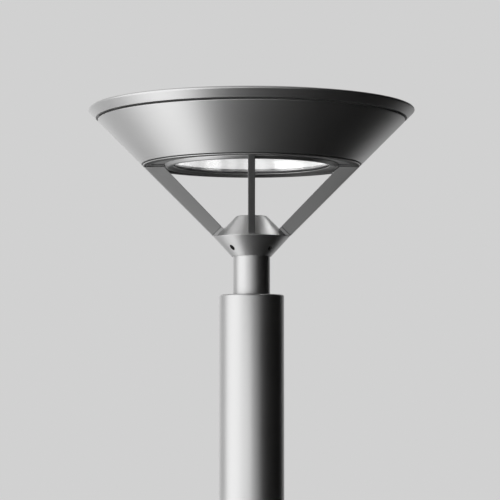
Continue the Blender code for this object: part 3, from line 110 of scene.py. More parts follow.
class LampSizes(bpy.types.PropertyGroup):
    """Sizes of the lamp post, with heights above the shoulder of the post unless they say otherwise"""

    shoulder: length("Shoulder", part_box("pole_tube")[1].z, "Height of the post's shoulder above the ground")
    foot: length("Foot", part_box("pole_foot")[0].z, "Height of the tube's lower end above the ground")
    post_diameter: length("Post", 0.133, "Outside of the post's tube")
    post_wall: length("Post wall", 0.004, "Wall of the post's tube")
    shoulder_edge: length("Shoulder edge", 0.004, "Rounding of the shoulder's edge")
    shoulder_thickness: length("Shoulder plate", 0.008, "Thickness of the post's closed top")
    spigot_diameter: length("Spigot", 0.076, "Outside of the spigot")
    spigot_wall: length("Spigot wall", 0.004, "Wall of the spigot")
    spigot_tail: length("Spigot tail", 0.15, "Length of spigot inside the post")
    spigot_top: length("Spigot top", 0.1395, "Height of the spigot's upper end")
    door_width: length("Door width", 0.085, "Width of the door opening")
    door_height: length("Door height", 0.4, "Height of the door opening")
    door_sill: length("Door sill", 0.6, "Height of the door opening above the ground")
    door_corner: length("Door corner", 0.02, "Corner radius of the door opening")
    door_gap: length("Door gap", 0.0015, "Gap round the door")
    lock_height: length("Lock height", 0.94, "Height of the lock above the ground")
    lock_bush: length("Lock bush", 0.022, "Outside of the lock's bush")
    lock_spindle: length("Lock spindle", 0.014, "Outside of the lock's spindle")
    flange_side: length("Flange side", 0.32, "Side of the base plate")
    flange_thickness: length("Flange", 0.02, "Thickness of the base plate")
    flange_corner: length("Flange corner", 0.02, "Corner radius of the base plate")
    anchor_pitch: length("Anchor pitch", 0.22, "Distance between the anchor holes")
    anchor_hole: length("Anchor hole", 0.026, "Diameter of the anchor holes")
    cable_entry: length("Cable entry", 0.09, "Diameter of the hole for the supply cable")
    weld_leg: length("Weld", 0.008, "Leg of the weld round the post's foot")
    cone_apex: length("Cone apex", 0.041, "Height of the point of the cone that hub, arms and head share")
    hub_bottom_radius: length("Hub bottom", 0.0405, "Radius of the hub's lower end")
    hub_bottom_drop: length("Hub drop", 0.003, "How far the hub's lower end is below the cone")
    hub_rim_radius: length("Hub rim", 0.077, "Radius of the hub at its widest")
    hub_ledge: length("Hub ledge", 0.004, "Width of the ledge above the rim")
    hub_ledge_rise: length("Hub ledge rise", 0.001, "Height of the rim's upper chamfer")
    hub_top_radius: length("Hub top", 0.031, "Radius of the hub's flat top")
    hub_top_edge: length("Hub top edge", 0.0024, "Rounding of the hub's top")
    set_screw_height: length("Set screw height", 0.0945, "Height of the set screws in the hub")
    set_screw: length("Set screw", 0.01, "Diameter of the set screws")
    pad_height: length("Pad", 0.006, "Height of the pads that carry the arms")
    arm_thickness: length("Arm thickness", 0.014, "Thickness of the flat arms")
    arm_depth: length("Arm depth", 0.0265, "Depth of the arms at the hub")
    arm_edge: length("Arm edge", 0.001, "Rounding of the arms' long edges")
    underside: length("Underside", 0.2625, "Height of the head's flat underside")
    ring_edge: length("Ring edge", 0.002, "Height of the ring below the housing")
    ring_width: length("Ring width", 0.0155, "Width of the ring's flat lower face")
    ring_seam: length("Ring seam", 0.0016, "Groove between ring and housing")
    ring_seam_depth: length("Ring seam depth", 0.01, "Depth of that groove")
    housing_height: length("Housing", 0.0904, "Height of the conical housing")
    housing_wall: length("Housing wall", 0.004, "Wall of the housing")
    housing_base: length("Housing base", 0.005, "Thickness of the housing's base")
    housing_land: length("Housing land", 0.0305, "Width of the land under the lid")
    lid_seam: length("Lid seam", 0.003, "Gap between housing and lid")
    lid_band: length("Lid band", 0.0192, "Height of the lid's conical band")
    lid_edge: length("Lid edge", 0.003, "Rounding of the lid's rim")
    lid_rise: length("Lid rise", 0.02, "Rise of the roof from rim to middle")
    lid_skin: length("Lid skin", 0.003, "Thickness of the roof")
    bezel_outer: length("Bezel", 0.1785, "Outer radius of the bezel")
    bezel_lip: length("Bezel lip", 0.1715, "Radius of the bezel's lower lip")
    bezel_opening: length("Bezel opening", 0.1595, "Radius of the opening below the glass")
    bezel_drop: length("Bezel drop", 0.0065, "How far the bezel stands below the housing's base")
    bezel_flange: length("Bezel flange", 0.002, "Thickness of the bezel's flange inside the housing")
    glass_radius: length("Glass", 0.168, "Radius of the glass")
    glass_thickness: length("Glass thickness", 0.006, "Thickness of the glass")


class LampFinishes(bpy.types.PropertyGroup):
    """Colours and finishes of the lamp post"""

    paint: colour("Paint", (0.48, 0.48, 0.48), "Metallic grey coat of post and head")
    # Painted shade: the arms' coat is the post's silver paint made darker, standing in for the shade on their
    # faces
    arms: colour("Arms", (0.3, 0.3, 0.3), "Darker grey coat of the arms")
    # Painted shade: the ring's coat is the silver paint made much darker, for the shade on the head's downward
    # face
    ring: colour("Ring", (0.15, 0.15, 0.15), "Dark grey coat of the ring under the housing")
    # Painted shade: the set screws are made near-black as black oxide, which stands in for the shade deep in
    # their holes
    oxide: colour("Oxide", (0.03, 0.03, 0.03), "Blackened set screws")
    paint_roughness: share("Paint roughness", 0.4, "Roughness of the metallic coat")
    zinc: colour("Zinc", (0.56, 0.57, 0.58), "Galvanised base plate")
    steel: colour("Steel", (0.58, 0.58, 0.58), "Stainless screws and fittings")
    aluminium: colour("Aluminium", (0.7, 0.71, 0.72), "Plain sheet and fins")
    mirror: colour("Reflector", (0.93, 0.93, 0.93), "Bright anodised reflector")
    rubber: colour("Rubber", (0.04, 0.04, 0.04), "Seals")
    glass: colour("Glass", (0.97, 0.97, 0.97), "Clear flat glass")
    plastic: colour("Plastic", (0.2, 0.205, 0.21), "Moulded boxes")
    pale_plastic: colour("Pale plastic", (0.62, 0.62, 0.6), "Terminal block and covers")
    board: colour("Board", (0.82, 0.82, 0.8), "White board of the light source")
    phosphor: colour("Phosphor", (0.9, 0.8, 0.45), "Yellow face of the light emitting diodes")
    lens: colour("Lens", (0.05, 0.35, 0.08), "Green lens of the surge protector")
    brass: colour("Brass", (0.72, 0.56, 0.28), "Earth stud")
    backdrop: colour("Backdrop", (0.638, 0.638, 0.638), "Plain studio background")
    card: colour("Card", (0.004, 0.004, 0.004), "Cards that shape the reflections, before they glow")


class LampStudio(bpy.types.PropertyGroup):
    """Camera and light"""

    lens: FloatProperty(name="Lens", description="Focal length", default=129.6, unit="CAMERA")
    sensor: FloatProperty(
        name="Sensor", description="Width of the camera's sensor", default=36.0, unit="CAMERA"
    )
    distance: length("Camera distance", 3.67, "Distance of the camera from the post's axis")
    camera_height: length("Camera height", 3.096, "Height of the camera above the ground")
    tilt: FloatProperty(
        name="Camera tilt", description="How far the camera looks up", default=math.radians(3.595),
        subtype="ANGLE",
    )
    sideways: FloatProperty(
        name="Camera offset", description="Camera's place along X", default=-0.003, subtype="DISTANCE"
    )
    key_power: power("Key", 41.0, "Power of the tall light on the left")
    fill_power: power("Fill", 20.0, "Power of the light behind")
    kick_power: power("Kick", 3.3, "Power of the low light on the left")
    front_power: power("Front", 8.8, "Power of the low light in front")
    ambience: share("Ambience", 1.0, "Strength of the plain light from all round")
    facets: IntProperty(name="Facets", description="Facets of the reflector", default=24, min=8)


# Drawing


def wire(drawing, corners, closed=True):
    """Draws a profile in the XZ plane from (radius, height) or (radius, height, rounding) corners."""
    verts = [drawing.verts.new((corner[0], 0.0, corner[1])) for corner in corners]
    for start, end in zip(verts, verts[1:]):
        drawing.edges.new((start, end))
    if closed:
        drawing.edges.new((verts[-1], verts[0]))
    for vert, corner in zip(verts, corners):
        if len(corner) > 2:
            bmesh.ops.bevel(
                drawing, geom=[vert], offset=corner[2], segments=CORNER_STEPS, profile=0.5,
                affect="VERTICES", material=-1,
            )


def arc(centre, radius, start, end, steps=10):
    """Points on an arc, with angles in degrees."""
    angles = [math.radians(start + (end - start) * step / steps) for step in range(steps + 1)]
    return [(centre[0] + radius * math.cos(angle), centre[1] + radius * math.sin(angle)) for angle in angles]


def turned(corners, steps=160):
    """A profile turned about Z. One that starts and ends on the axis is a solid, any other a ring."""
    drawing = bmesh.new()
    wire(drawing, corners, closed=bool(corners[0][0] or corners[-1][0]))
    bmesh.ops.spin(
        drawing, geom=drawing.verts[:] + drawing.edges[:], cent=(0, 0, 0), axis=(0, 0, 1),
        dvec=(0, 0, 0), angle=math.tau, steps=steps, use_merge=True,
    )
    return tidied(drawing)


def hoop(inner, outer, low, high, steps=160):
    """A ring with a plain square section."""
    return turned([(outer, high), (outer, low), (inner, low), (inner, high)], steps)


def tidied(drawing):
    """Closes seams and poles and turns all faces outwards."""
    bmesh.ops.remove_doubles(drawing, verts=drawing.verts[:], dist=1e-6)
    bmesh.ops.recalc_face_normals(drawing, faces=drawing.faces[:])
    return drawing


def moved(drawing, place):
    """The same drawing at another place."""
    bmesh.ops.transform(drawing, matrix=place, verts=drawing.verts[:])
    return drawing


def rounded(drawing, edges, setback, segments=2):
    """Rounds some edges of a drawing."""
    bmesh.ops.bevel(
        drawing, geom=edges, offset=setback, segments=segments, profile=0.5, affect="EDGES", material=-1
    )
    return drawing


def bent_edges(drawing, angle):
    """The edges of a drawing that are sharper than an angle in degrees."""
    return [edge for edge in drawing.edges if edge.calc_face_angle(0) > math.radians(angle)]


def block(low, high, corner=0.0, along=None, edge=0.0):
    """A box between two corners, with the edges along one axis rounded first and then all the rest."""
    drawing = bmesh.new()
    size = Vector(high) - Vector(low)
    place = Matrix.Translation((Vector(high) + Vector(low)) / 2) @ Matrix.Diagonal((*size, 1))
    bmesh.ops.create_cube(drawing, size=1, matrix=place)
    if corner:
        axis = "XYZ".index(along)
        picked = [e for e in drawing.edges if abs((e.verts[0].co - e.verts[1].co)[axis]) > size[axis] / 2]
        rounded(drawing, picked, corner, 8)
    if edge:
        rounded(drawing, bent_edges(drawing, 40), edge)
    return drawing


def rod(start, end, diameter, steps=32, edge=0.0):
    """A round bar between two points, with its end edges rounded. Few steps make it a prism."""
    drawing = bmesh.new()
    run = Vector(end) - Vector(start)
    turn = run.to_track_quat("Z", "Y").to_matrix().to_4x4()
    bmesh.ops.create_cone(
        drawing, cap_ends=True, segments=steps, radius1=diameter / 2, radius2=diameter / 2,
        depth=run.length, matrix=Matrix.Translation((Vector(start) + Vector(end)) / 2) @ turn,
    )
    if edge:
        rounded(drawing, bent_edges(drawing, 60), edge)
    return drawing


def upright(x, y, low, high, diameter, steps=32):
    """A round bar or prism that stands upright between two heights."""
    return rod((x, y, low), (x, y, high), diameter, steps)


def new_verts(result):
    """The vertices that an extrusion made."""
    return [item for item in result["geom"] if isinstance(item, bmesh.types.BMVert)]


def plate(outline, half_width, place=Matrix()):
    """A flat outline in the XZ plane, thickened to both sides along Y."""
    drawing = bmesh.new()
    face = drawing.faces.new([drawing.verts.new((x, -half_width, z)) for x, z in outline])
    grown = bmesh.ops.extrude_face_region(drawing, geom=[face])
    bmesh.ops.translate(drawing, vec=(0, 2 * half_width, 0), verts=new_verts(grown))
    return moved(tidied(drawing), place)


def together(*drawings):
    """Several drawings as one."""
    whole = drawings[0]
    for other in drawings[1:]:
        mesh = bpy.data.meshes.new("part")
        other.to_mesh(mesh)
        other.free()
        whole.from_mesh(mesh)
        bpy.data.meshes.remove(mesh)
    return whole


def around(turns, draw):
    """A drawing for each turn about Z, all as one."""
    return together(*[moved(draw(), Matrix.Rotation(turn, 4, "Z")) for turn in turns])


def placed(draw, *spots):
    """A drawing at each of several spots, all as one."""
    return together(*[moved(draw(), Matrix.Translation(spot)) for spot in spots])


def as_object(name, drawing):
    """An object made from a drawing, which is used up."""
    mesh = bpy.data.meshes.new(name)
    drawing.to_mesh(mesh)
    drawing.free()
    obj = bpy.data.objects.new(name, mesh)
    bpy.context.scene.collection.objects.link(obj)
    return obj


def carved(drawing, *changes):
    """A drawing with other drawings cut out of it or joined to it, given as (operation, drawing)."""
    obj = as_object("blank", drawing)
    tools = []
    for operation, change in changes:
        tool = as_object("tool", change)
        modifier = obj.modifiers.new(operation.title(), "BOOLEAN")
        modifier.operation = operation
        modifier.solver = "EXACT"
        modifier.object = tool
        tools.append(tool)
    bpy.context.view_layer.update()
    mesh = bpy.data.meshes.new_from_object(obj.evaluated_get(bpy.context.evaluated_depsgraph_get()))
    result = bmesh.new()
    result.from_mesh(mesh)
    for item in (obj, *tools):
        bpy.data.objects.remove(item, do_unlink=True)
    return result


def bored(drawing, *tools):
    """A drawing with all the tools cut out of it, one after the other."""
    return carved(drawing, *[("DIFFERENCE", tool) for tool in tools])


def settle(name, drawing, kind, body, *nodes):
    """Makes a drawing a piece with a coat, which rides on a body and stands for CAD nodes."""
    obj = as_object(name, drawing)
    obj.data.shade_smooth()
    obj.data.set_sharp_from_angle(angle=math.radians(28))
    obj.data.materials.append(coat(kind))
    shading = obj.modifiers.new("Face Normals", "WEIGHTED_NORMAL")
    shading.keep_sharp = True
    shading.weight = 100
    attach(obj, body)
    if nodes:
        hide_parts(*nodes)


def dress(kind, *nodes):
    """Gives a coat to CAD nodes that stay."""
    for name in nodes:
        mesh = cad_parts[name].data
        mesh.materials.clear()
        mesh.materials.append(coat(kind))


def span(name):
    """Lower and upper corner of a CAD node as plain numbers."""
    low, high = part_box(name)
    return (*low, *high)


def cone(sizes, height):
    """Radius of the cone that hub, arms, housing and lid share."""
    return height - sizes.cone_apex


def lifted(sizes, drawing):
    """A drawing whose heights count from the shoulder, moved up to it."""
    return moved(drawing, Matrix.Translation((0, 0, sizes.shoulder)))


# Finishes


def add(tree, kind, sockets, **settings):
    """Adds a shader node with its settings. Its sockets are linked to others or set to values."""
    node = tree.nodes.new("ShaderNode" + kind)
    for label, value in settings.items():
        setattr(node, label, value)
    for label, value in sockets.items():
        if isinstance(value, bpy.types.NodeSocket):
            tree.links.new(value, node.inputs[label])
        else:
            node.inputs[label].default_value = value
    return node


def grain_group():
    """Fine and broad noise on Object coordinates, with a stretch for brushed or rolled metal."""
    tree = bpy.data.node_groups.get("surface_grain")
    if tree:
        return tree
    tree = bpy.data.node_groups.new("surface_grain", "ShaderNodeTree")
    inputs = (("Scale", "NodeSocketFloat", 800.0), ("Stretch", "NodeSocketVector", (1.0, 1.0, 1.0)))
    for label, kind, default in inputs:
        tree.interface.new_socket(label, in_out="INPUT", socket_type=kind).default_value = default
    for label in ("Fine", "Broad"):
        tree.interface.new_socket(label, in_out="OUTPUT", socket_type="NodeSocketFloat")
    given, out = tree.nodes.new("NodeGroupInput").outputs, tree.nodes.new("NodeGroupOutput").inputs
    place = add(tree, "TexCoord", {}).outputs["Object"]
    along = add(tree, "VectorMath", {0: place, 1: given["Stretch"]}, operation="MULTIPLY").outputs[0]
    fine = add(tree, "TexNoise", {"Vector": along, "Scale": given["Scale"], "Detail": 3.0})
    broad = add(tree, "TexNoise", {"Vector": place, "Scale": 9.0, "Detail": 5.0})
    tree.links.new(fine.outputs["Fac"], out["Fine"])
    tree.links.new(broad.outputs["Fac"], out["Broad"])
    return tree


def ranged(tree, value, low, high, start=0.0, end=1.0):
    """A number that runs from low to high while a value runs from start to end."""
    sockets = {"Value": value, "From Min": start, "From Max": end, "To Min": low, "To Max": high}
    return add(tree, "MapRange", sockets).outputs["Result"]


def tint(tree, factor, low, high):
    """A colour that runs with a factor from low to high, each of them a colour or a socket."""
    ends = [end if isinstance(end, bpy.types.NodeSocket) else (*end, 1.0) for end in (low, high)]
    sockets = {"Factor": factor, "A": ends[0], "B": ends[1]}
    return add(tree, "Mix", sockets, data_type="RGBA").outputs["Result"]


def shaded(base, factor):
    """A colour made darker or lighter."""
    return tuple(min(1.0, channel * factor) for channel in base)


def finish(name, base, roughness, metallic=0.0, scale=800.0, stretch=(1, 1, 1), vary=0.08, rough_vary=0.1,
           bump=0.00002, **sockets):
    """A material with grain in its colour, roughness and surface. Sockets are set on the shader itself."""
    material = bpy.data.materials.get(name)
    if material:
        return material
    material = bpy.data.materials.new(name)
    material.use_nodes = True
    tree = material.node_tree
    shader = tree.nodes["Principled BSDF"].inputs
    shader["Metallic"].default_value = metallic
    for label, value in sockets.items():
        shader[label.replace("_", " ")].default_value = value
    grain = add(tree, "Group", {"Scale": scale, "Stretch": stretch}, node_tree=grain_group()).outputs
    half = add(tree, "Math", {0: grain["Broad"], 1: 0.5}, operation="MULTIPLY").outputs[0]
    both = add(tree, "Math", {0: grain["Fine"], 1: 0.5, 2: half}, operation="MULTIPLY_ADD").outputs[0]
    base_colour = tint(tree, both, shaded(base, 1 - vary), shaded(base, 1 + vary))
    tree.links.new(base_colour, shader["Base Color"])
    rough = ranged(tree, grain["Broad"], roughness * (1 - rough_vary), roughness * (1 + rough_vary))
    tree.links.new(rough, shader["Roughness"])
    if bump:
        raised = add(tree, "Bump", {"Distance": bump, "Strength": 0.5, "Height": grain["Fine"]})
        tree.links.new(raised.outputs["Normal"], shader["Normal"])
    return material


SILVER = {"metallic": 1.0, "scale": 1500.0, "vary": 0.06, "rough_vary": 0.08}
WHITE = (1.0, 1.0, 1.0, 1.0)
WARM_WHITE = (1.0, 0.97, 0.9, 1.0)

# Each finish of the panel: its material's name and how it differs from a plain one
COATS = {
    "paint": dict(name="silver_coat", **SILVER),
    # Painted shade: the arms' and the ring's coats are darker copies of the silver coat
    "arms": dict(name="grey_coat", **SILVER),
    "ring": dict(name="dark_coat", **SILVER),
    # Black oxide made near-black, painting shade into the set screws' holes
    "oxide": dict(name="black_oxide", roughness=0.5, metallic=1.0, scale=1500.0, vary=0.2),
    "zinc": dict(name="zinc_coat", roughness=0.45, metallic=1.0, scale=90.0, vary=0.18, rough_vary=0.25),
    "steel": dict(
        name="stainless_steel", roughness=0.3, metallic=1.0, scale=900.0, stretch=(1, 1, 0.1), vary=0.1,
    ),
    "aluminium": dict(
        name="rolled_aluminium", roughness=0.38, metallic=1.0, scale=700.0, stretch=(1, 0.06, 1),
    ),
    # The reflector glows with painted light, standing in for the lit inside of the lamp
    "mirror": dict(
        name="bright_reflector", roughness=0.1, metallic=1.0, scale=35.0, stretch=(1, 0.1, 0.03), vary=0.03,
        rough_vary=0.2, bump=0.0, Emission_Strength=1.8,
    ),
    "rubber": dict(name="black_seal", roughness=0.72, scale=900.0, vary=0.3),
    "glass": dict(
        name="clear_pane", roughness=0.015, scale=300.0, vary=0.01, rough_vary=0.5, bump=0.0,
        Transmission_Weight=1.0, IOR=1.5,
    ),
    "plastic": dict(name="moulded_plastic", roughness=0.5, scale=1600.0, vary=0.1, bump=0.00004),
    "pale_plastic": dict(name="pale_plastic", roughness=0.45, scale=1600.0, vary=0.06, bump=0.00003),
    "board": dict(name="white_board", roughness=0.45, scale=1200.0, vary=0.03),
    "phosphor": dict(
        name="phosphor", roughness=0.4, scale=2000.0, vary=0.05, bump=0.0, Emission_Color=WARM_WHITE,
        Emission_Strength=0.6,
    ),
    "lens": dict(name="green_lens", roughness=0.2, scale=600.0, vary=0.05, bump=0.0),
    "brass": dict(name="plain_brass", roughness=0.35, metallic=1.0),
    "backdrop": dict(name="pale_floor", roughness=0.9, scale=2.0, vary=0.01, Specular_IOR_Level=0.0),
    "card": dict(
        name="black_card", roughness=1.0, bump=0.0, Specular_IOR_Level=0.0, Emission_Color=WHITE,
    ),
}

# The record's slot that each finish belongs to
SLOTS = {
    **dict.fromkeys(("paint", "arms", "ring"), "silver_paint"),
    **dict.fromkeys(("oxide", "zinc", "steel"), "bright_steel"),
    **dict.fromkeys(("plastic", "pale_plastic", "lens"), "grey_plastic"),
    **dict.fromkeys(("board", "phosphor"), "white_board"),
    "aluminium": "plain_aluminium",
    "mirror": "reflector_aluminium",
    "rubber": "black_rubber",
    "glass": "clear_glass",
}


def coat(kind, **changes):
    """The material of a finish, in the panel's colour, and with the paint's roughness if it has none."""
    chosen = bpy.context.scene.lamp_finishes
    settings = {"roughness": chosen.paint_roughness, **COATS[kind], **changes}
    return finish(base=getattr(chosen, kind), **settings)


def paint_reflector_glow(material):
    """Paints a glow on the reflector in place of the lamp lighting it: painted streaks in bands where it is
    seen directly, and in other mirrors a painted highlight that is bright at its sides.
    """
    tree = material.node_tree
    if "Light Path" in tree.nodes:
        return
    # Painted light: streaks seen directly, and a glow by X that paints highlights at both sides of the hub's
    # reflection and shade in its middle right
    depth = add(tree, "LightPath", {}).outputs["Glossy Depth"]
    bands = ranged(tree, tree.nodes["Group"].outputs["Fine"], 0.0, 1.0, 0.35, 0.65)
    painted_streaks = tint(tree, bands, (0.2, 0.2, 0.2), (1, 1, 1))
    axes = add(tree, "SeparateXYZ", {0: add(tree, "TexCoord", {}).outputs["Object"]})
    painted_side_glow = add(tree, "ValToRGB", {0: ranged(tree, axes.outputs["X"], 0.0, 1.0, -0.15, 0.15)})
    stops = painted_side_glow.color_ramp.elements
    stops[0].color = (0.9, 0.9, 0.9, 1)
    stops[1].color = (1.4, 1.4, 1.4, 1)
    for spot, level in ((0.25, 0.4), (0.42, 0.08), (0.82, 0.0)):
        stops.new(spot).color = (level, level, level, 1)
    once = add(tree, "Math", {0: depth, 1: 1.5}, operation="LESS_THAN").outputs[0]
    painted_mirror_highlight = tint(tree, once, (0, 0, 0), painted_side_glow.outputs[0])
    shader = tree.nodes["Principled BSDF"].inputs
    tree.links.new(tint(tree, depth, painted_streaks, painted_mirror_highlight), shader["Emission Color"])


# Operators


def door_block(sizes, gap):
    """The rounded door opening as a block through the front wall, shrunk by a gap."""
    half = sizes.door_width / 2 - gap
    return block(
        (-half, -sizes.post_diameter, sizes.door_sill + gap),
        (half, 0, sizes.door_sill + sizes.door_height - gap),
        corner=sizes.door_corner - gap, along="Y",
    )


class LAMP_OT_post(bpy.types.Operator):
    """Draw the post's tube with its rounded shoulder and door opening, and the spigot on top"""

    bl_idname = "lamp.post"
    bl_label = "Post and Spigot"
    bl_options = {"REGISTER", "UNDO"}

    def execute(self, context):
        sizes = context.scene.lamp_sizes
        outer, bore = sizes.post_diameter / 2, sizes.spigot_diameter / 2 + FIT
        inner = outer - sizes.post_wall
        foot, under = sizes.foot - sizes.shoulder, -sizes.shoulder_thickness
        tube = turned([
            (bore, 0.0, FINE_EDGE), (outer, 0.0, sizes.shoulder_edge), (outer, foot), (inner, foot),
            (inner, under), (bore, under),
        ])
        tube = bored(lifted(sizes, tube), door_block(sizes, 0.0))
        settle("post_tube", tube, "paint", "post", "pole_foot", "pole_door_section", "pole_tube")
        outer = sizes.spigot_diameter / 2
        inner = outer - sizes.spigot_wall
        top, tail = sizes.spigot_top, -sizes.spigot_tail
        spigot = turned([(outer, top, SOFT_EDGE), (outer, tail), (inner, tail), (inner, top)])
        settle("spigot", lifted(sizes, spigot), "paint", "post", "spigot_tube")
        dress("steel", "spigot_ring")
        return {"FINISHED"}


class LAMP_OT_base(bpy.types.Operator):
    """Draw the base plate with its holes and the weld round the post's foot"""

    bl_idname = "lamp.base"
    bl_label = "Base Plate"
    bl_options = {"REGISTER", "UNDO"}

    def execute(self, context):
        sizes = context.scene.lamp_sizes
        half, reach, thick = sizes.flange_side / 2, sizes.anchor_pitch / 2, sizes.flange_thickness
        base = block(
            (-half, -half, 0), (half, half, thick), corner=sizes.flange_corner, along="Z", edge=0.0012
        )
        holes = [
            upright(x, y, -thick, 2 * thick, sizes.anchor_hole, 48)
            for x in (-reach, reach) for y in (-reach, reach)
        ]
        entry = upright(0, 0, -thick, 2 * thick, sizes.cable_entry, 96)
        settle("base_plate", bored(base, together(entry, *holes)), "zinc", "post", "base_flange")
        root, leg = sizes.post_diameter / 2 + FIT, sizes.weld_leg
        belly, crown, ripples, ripple = leg * 0.62, leg * 0.4, 60, 0.004
        bead = turned([
            (root, thick + leg, SOFT_EDGE), (root + belly, thick + belly, crown), (root + leg, thick, EDGE),
            (root, thick),
        ], 360)
        for vert in bead.verts:
            if vert.co.xy.length > root + SOFT_EDGE:
                vert.co.xy *= 1 + ripple * math.sin(ripples * math.atan2(vert.co.y, vert.co.x))
        settle("foot_weld", bead, "zinc", "post")
        return {"FINISHED"}


class LAMP_OT_door(bpy.types.Operator):
    """Draw the service door with its lock"""

    bl_idname = "lamp.door"
    bl_label = "Service Door"
    bl_options = {"REGISTER", "UNDO"}

    def execute(self, context):
        sizes = context.scene.lamp_sizes
        outer, lock = sizes.post_diameter / 2, sizes.lock_height
        low, high = sizes.door_sill - PAST, sizes.door_sill + sizes.door_height + PAST
        skin = hoop(outer - sizes.post_wall, outer, low, high)
        hole = rod((0, 0, lock), (0, -2 * outer, lock), sizes.lock_bush + 2 * FIT, 48)
        door = carved(skin, ("INTERSECT", door_block(sizes, sizes.door_gap)), ("DIFFERENCE", hole))
        settle("door", door, "paint", "door", "door_panel")

        facing = Matrix.Translation((0, 0, lock)) @ Matrix.Rotation(math.radians(90), 4, "X")
        proud, tail, key, key_depth = 0.0015, 0.004, 0.008, 0.006
        front = outer + proud
        back, end = (-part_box(name)[1].y for name in ("lock_bush", "lock_spindle"))
        rim, bore = sizes.lock_bush / 2, sizes.lock_spindle / 2 + FIT
        bush = turned([(rim, front, 0.0007), (rim, back), (bore, back), (bore, front, 0.0005)], 64)
        settle("key_bush", moved(bush, facing), "steel", "door", "lock_bush")
        rim = sizes.lock_spindle / 2
        shaft = turned([
            (0, front), (rim, front, FINE_EDGE), (rim, back), (tail, back), (tail, end), (0, end),
        ], 64)
        shaft = bored(shaft, upright(0, 0, front - key_depth, front + PAST, key, 3))
        settle("key_spindle", moved(shaft, facing), "steel", "door_lock", "lock_spindle")
        dress("steel", "lock_nut", "lock_bar")
        return {"FINISHED"}


def arm_frame(sizes):
    """Frame of the arm on +X: X along it from the hub's rim, Y across it, Z inwards from the cone."""
    run, inward = Vector((1, 0, 1)).normalized(), Vector((-1, 0, 1)).normalized()
    start = Vector((sizes.hub_rim_radius, 0, sizes.cone_apex + sizes.hub_rim_radius))
    place = Matrix((run, Vector((0, 1, 0)), inward)).transposed().to_4x4()
    return Matrix.Translation(start) @ place


def pad_face(sizes):
    """Distance along an arm from the hub's rim to the face of its pad."""
    ledge = Vector((-sizes.hub_ledge, sizes.hub_ledge_rise))
    return ledge.dot(Vector((1, 1)).normalized()) + sizes.pad_height


class LAMP_OT_hub(bpy.types.Operator):
    """Draw the double cone that carries the arms, with its pads and recessed set screws"""

    bl_idname = "lamp.hub"
    bl_label = "Hub"
    bl_options = {"REGISTER", "UNDO"}

    def execute(self, context):
        sizes = context.scene.lamp_sizes
        radius, rim = sizes.hub_rim_radius, sizes.cone_apex + sizes.hub_rim_radius
        bottom = sizes.cone_apex + sizes.hub_bottom_radius - sizes.hub_bottom_drop
        ledge, ledge_height = radius - sizes.hub_ledge, rim + sizes.hub_ledge_rise
        top = ledge_height + ledge - sizes.hub_top_radius
        bore, seat = sizes.spigot_diameter / 2 + FIT, sizes.spigot_top + FIT
        rim_edge, pad_root = 0.0005, -0.012
        body = turned([
            (0, top), (sizes.hub_top_radius, top, sizes.hub_top_edge), (ledge, ledge_height),
            (radius - FINE_EDGE, ledge_height, rim_edge), (radius, rim, rim_edge),
            (sizes.hub_bottom_radius, bottom, 0.0004), (bore, bottom), (bore, seat), (0, seat),
        ], 120)
        face, half = pad_face(sizes) - FIT, sizes.arm_thickness / 2

        def pad():
            shape = block((pad_root, -half, FIT), (face, half, sizes.arm_depth), edge=0.0007)
            return moved(shape, arm_frame(sizes))

        level, thread, hole_start, hole_end = sizes.set_screw_height, sizes.set_screw, bore - 0.004, 0.09
        tip, screw_length, socket_depth, socket_width = bore + FIT, 0.009, 0.004, 0.00577
        end = tip + screw_length

        def level_rod(start, stop, diameter, *how):
            return rod((start, 0, level), (stop, 0, level), diameter, *how)

        def hole():
            return level_rod(hole_start, hole_end, thread + 2 * FIT)

        def screw():
            shank = level_rod(tip, end, thread, 32, FINE_EDGE)
            return bored(shank, level_rod(end - socket_depth, end + PAST, socket_width, 6))

        body = carved(body, ("UNION", around(ARMS.values(), pad)), ("DIFFERENCE", around(BETWEEN_ARMS, hole)))
        settle("hub", lifted(sizes, body), "paint", "head", "hub_casting")
        names = [f"hub_set_screw_{name}" for name in ("rear_right", "rear_left", "front_left", "front_right")]
        # The set screws wear the near-black coat, painted shade of their recesses
        settle("hub_set_screws", lifted(sizes, around(BETWEEN_ARMS, screw)), "oxide", "head", *names)
        dress("steel", *[f"arm_screw_lower_{name}" for name in ARMS])
        return {"FINISHED"}


class LAMP_OT_arms(bpy.types.Operator):
    """Draw the flat arms between hub and head"""

    bl_idname = "lamp.arms"
    bl_label = "Arms"
    bl_options = {"REGISTER", "UNDO"}

    def execute(self, context):
        sizes = context.scene.lamp_sizes
        place, face = arm_frame(sizes), pad_face(sizes)
        top = sizes.underside - FIT
        ends = [(cone(sizes, top), top), (sizes.bezel_outer + 2 * FIT, top)]
        local = [place.inverted() @ Vector((radius, 0, height)) for radius, height in ends]
        outline = [(face, 0), *[(point.x, point.z) for point in local], (face, sizes.arm_depth)]
        for name, turn in ARMS.items():
            bar = plate(outline, sizes.arm_thickness / 2)
            rounded(bar, bar.edges[:], sizes.arm_edge, 3)
            bar = moved(moved(bar, place), Matrix.Rotation(turn, 4, "Z"))
            # The arms wear the darker coat, which paints shade on their faces
            settle(f"arm_bar_{name}", lifted(sizes, bar), "arms", "head", f"arm_{name}")
        dress("steel", *[f"arm_screw_upper_{name}" for name in ARMS])
        return {"FINISHED"}


def housing_span(sizes):
    """Lower and upper height of the conical housing."""
    low = sizes.underside + sizes.ring_edge + sizes.ring_seam
    return low, low + sizes.housing_height


def hinge_place(sizes):
    """Radius and height of the lid hinge's pin."""
    height = housing_span(sizes)[1] + sizes.lid_seam / 2
    return cone(sizes, height) + HINGE_OUT, height


def hinge_rod(sizes, start, end, diameter, *how):
    """A round bar along the lid hinge, between two distances from its middle."""
    return rod((start, *hinge_place(sizes)), (end, *hinge_place(sizes)), diameter, *how)


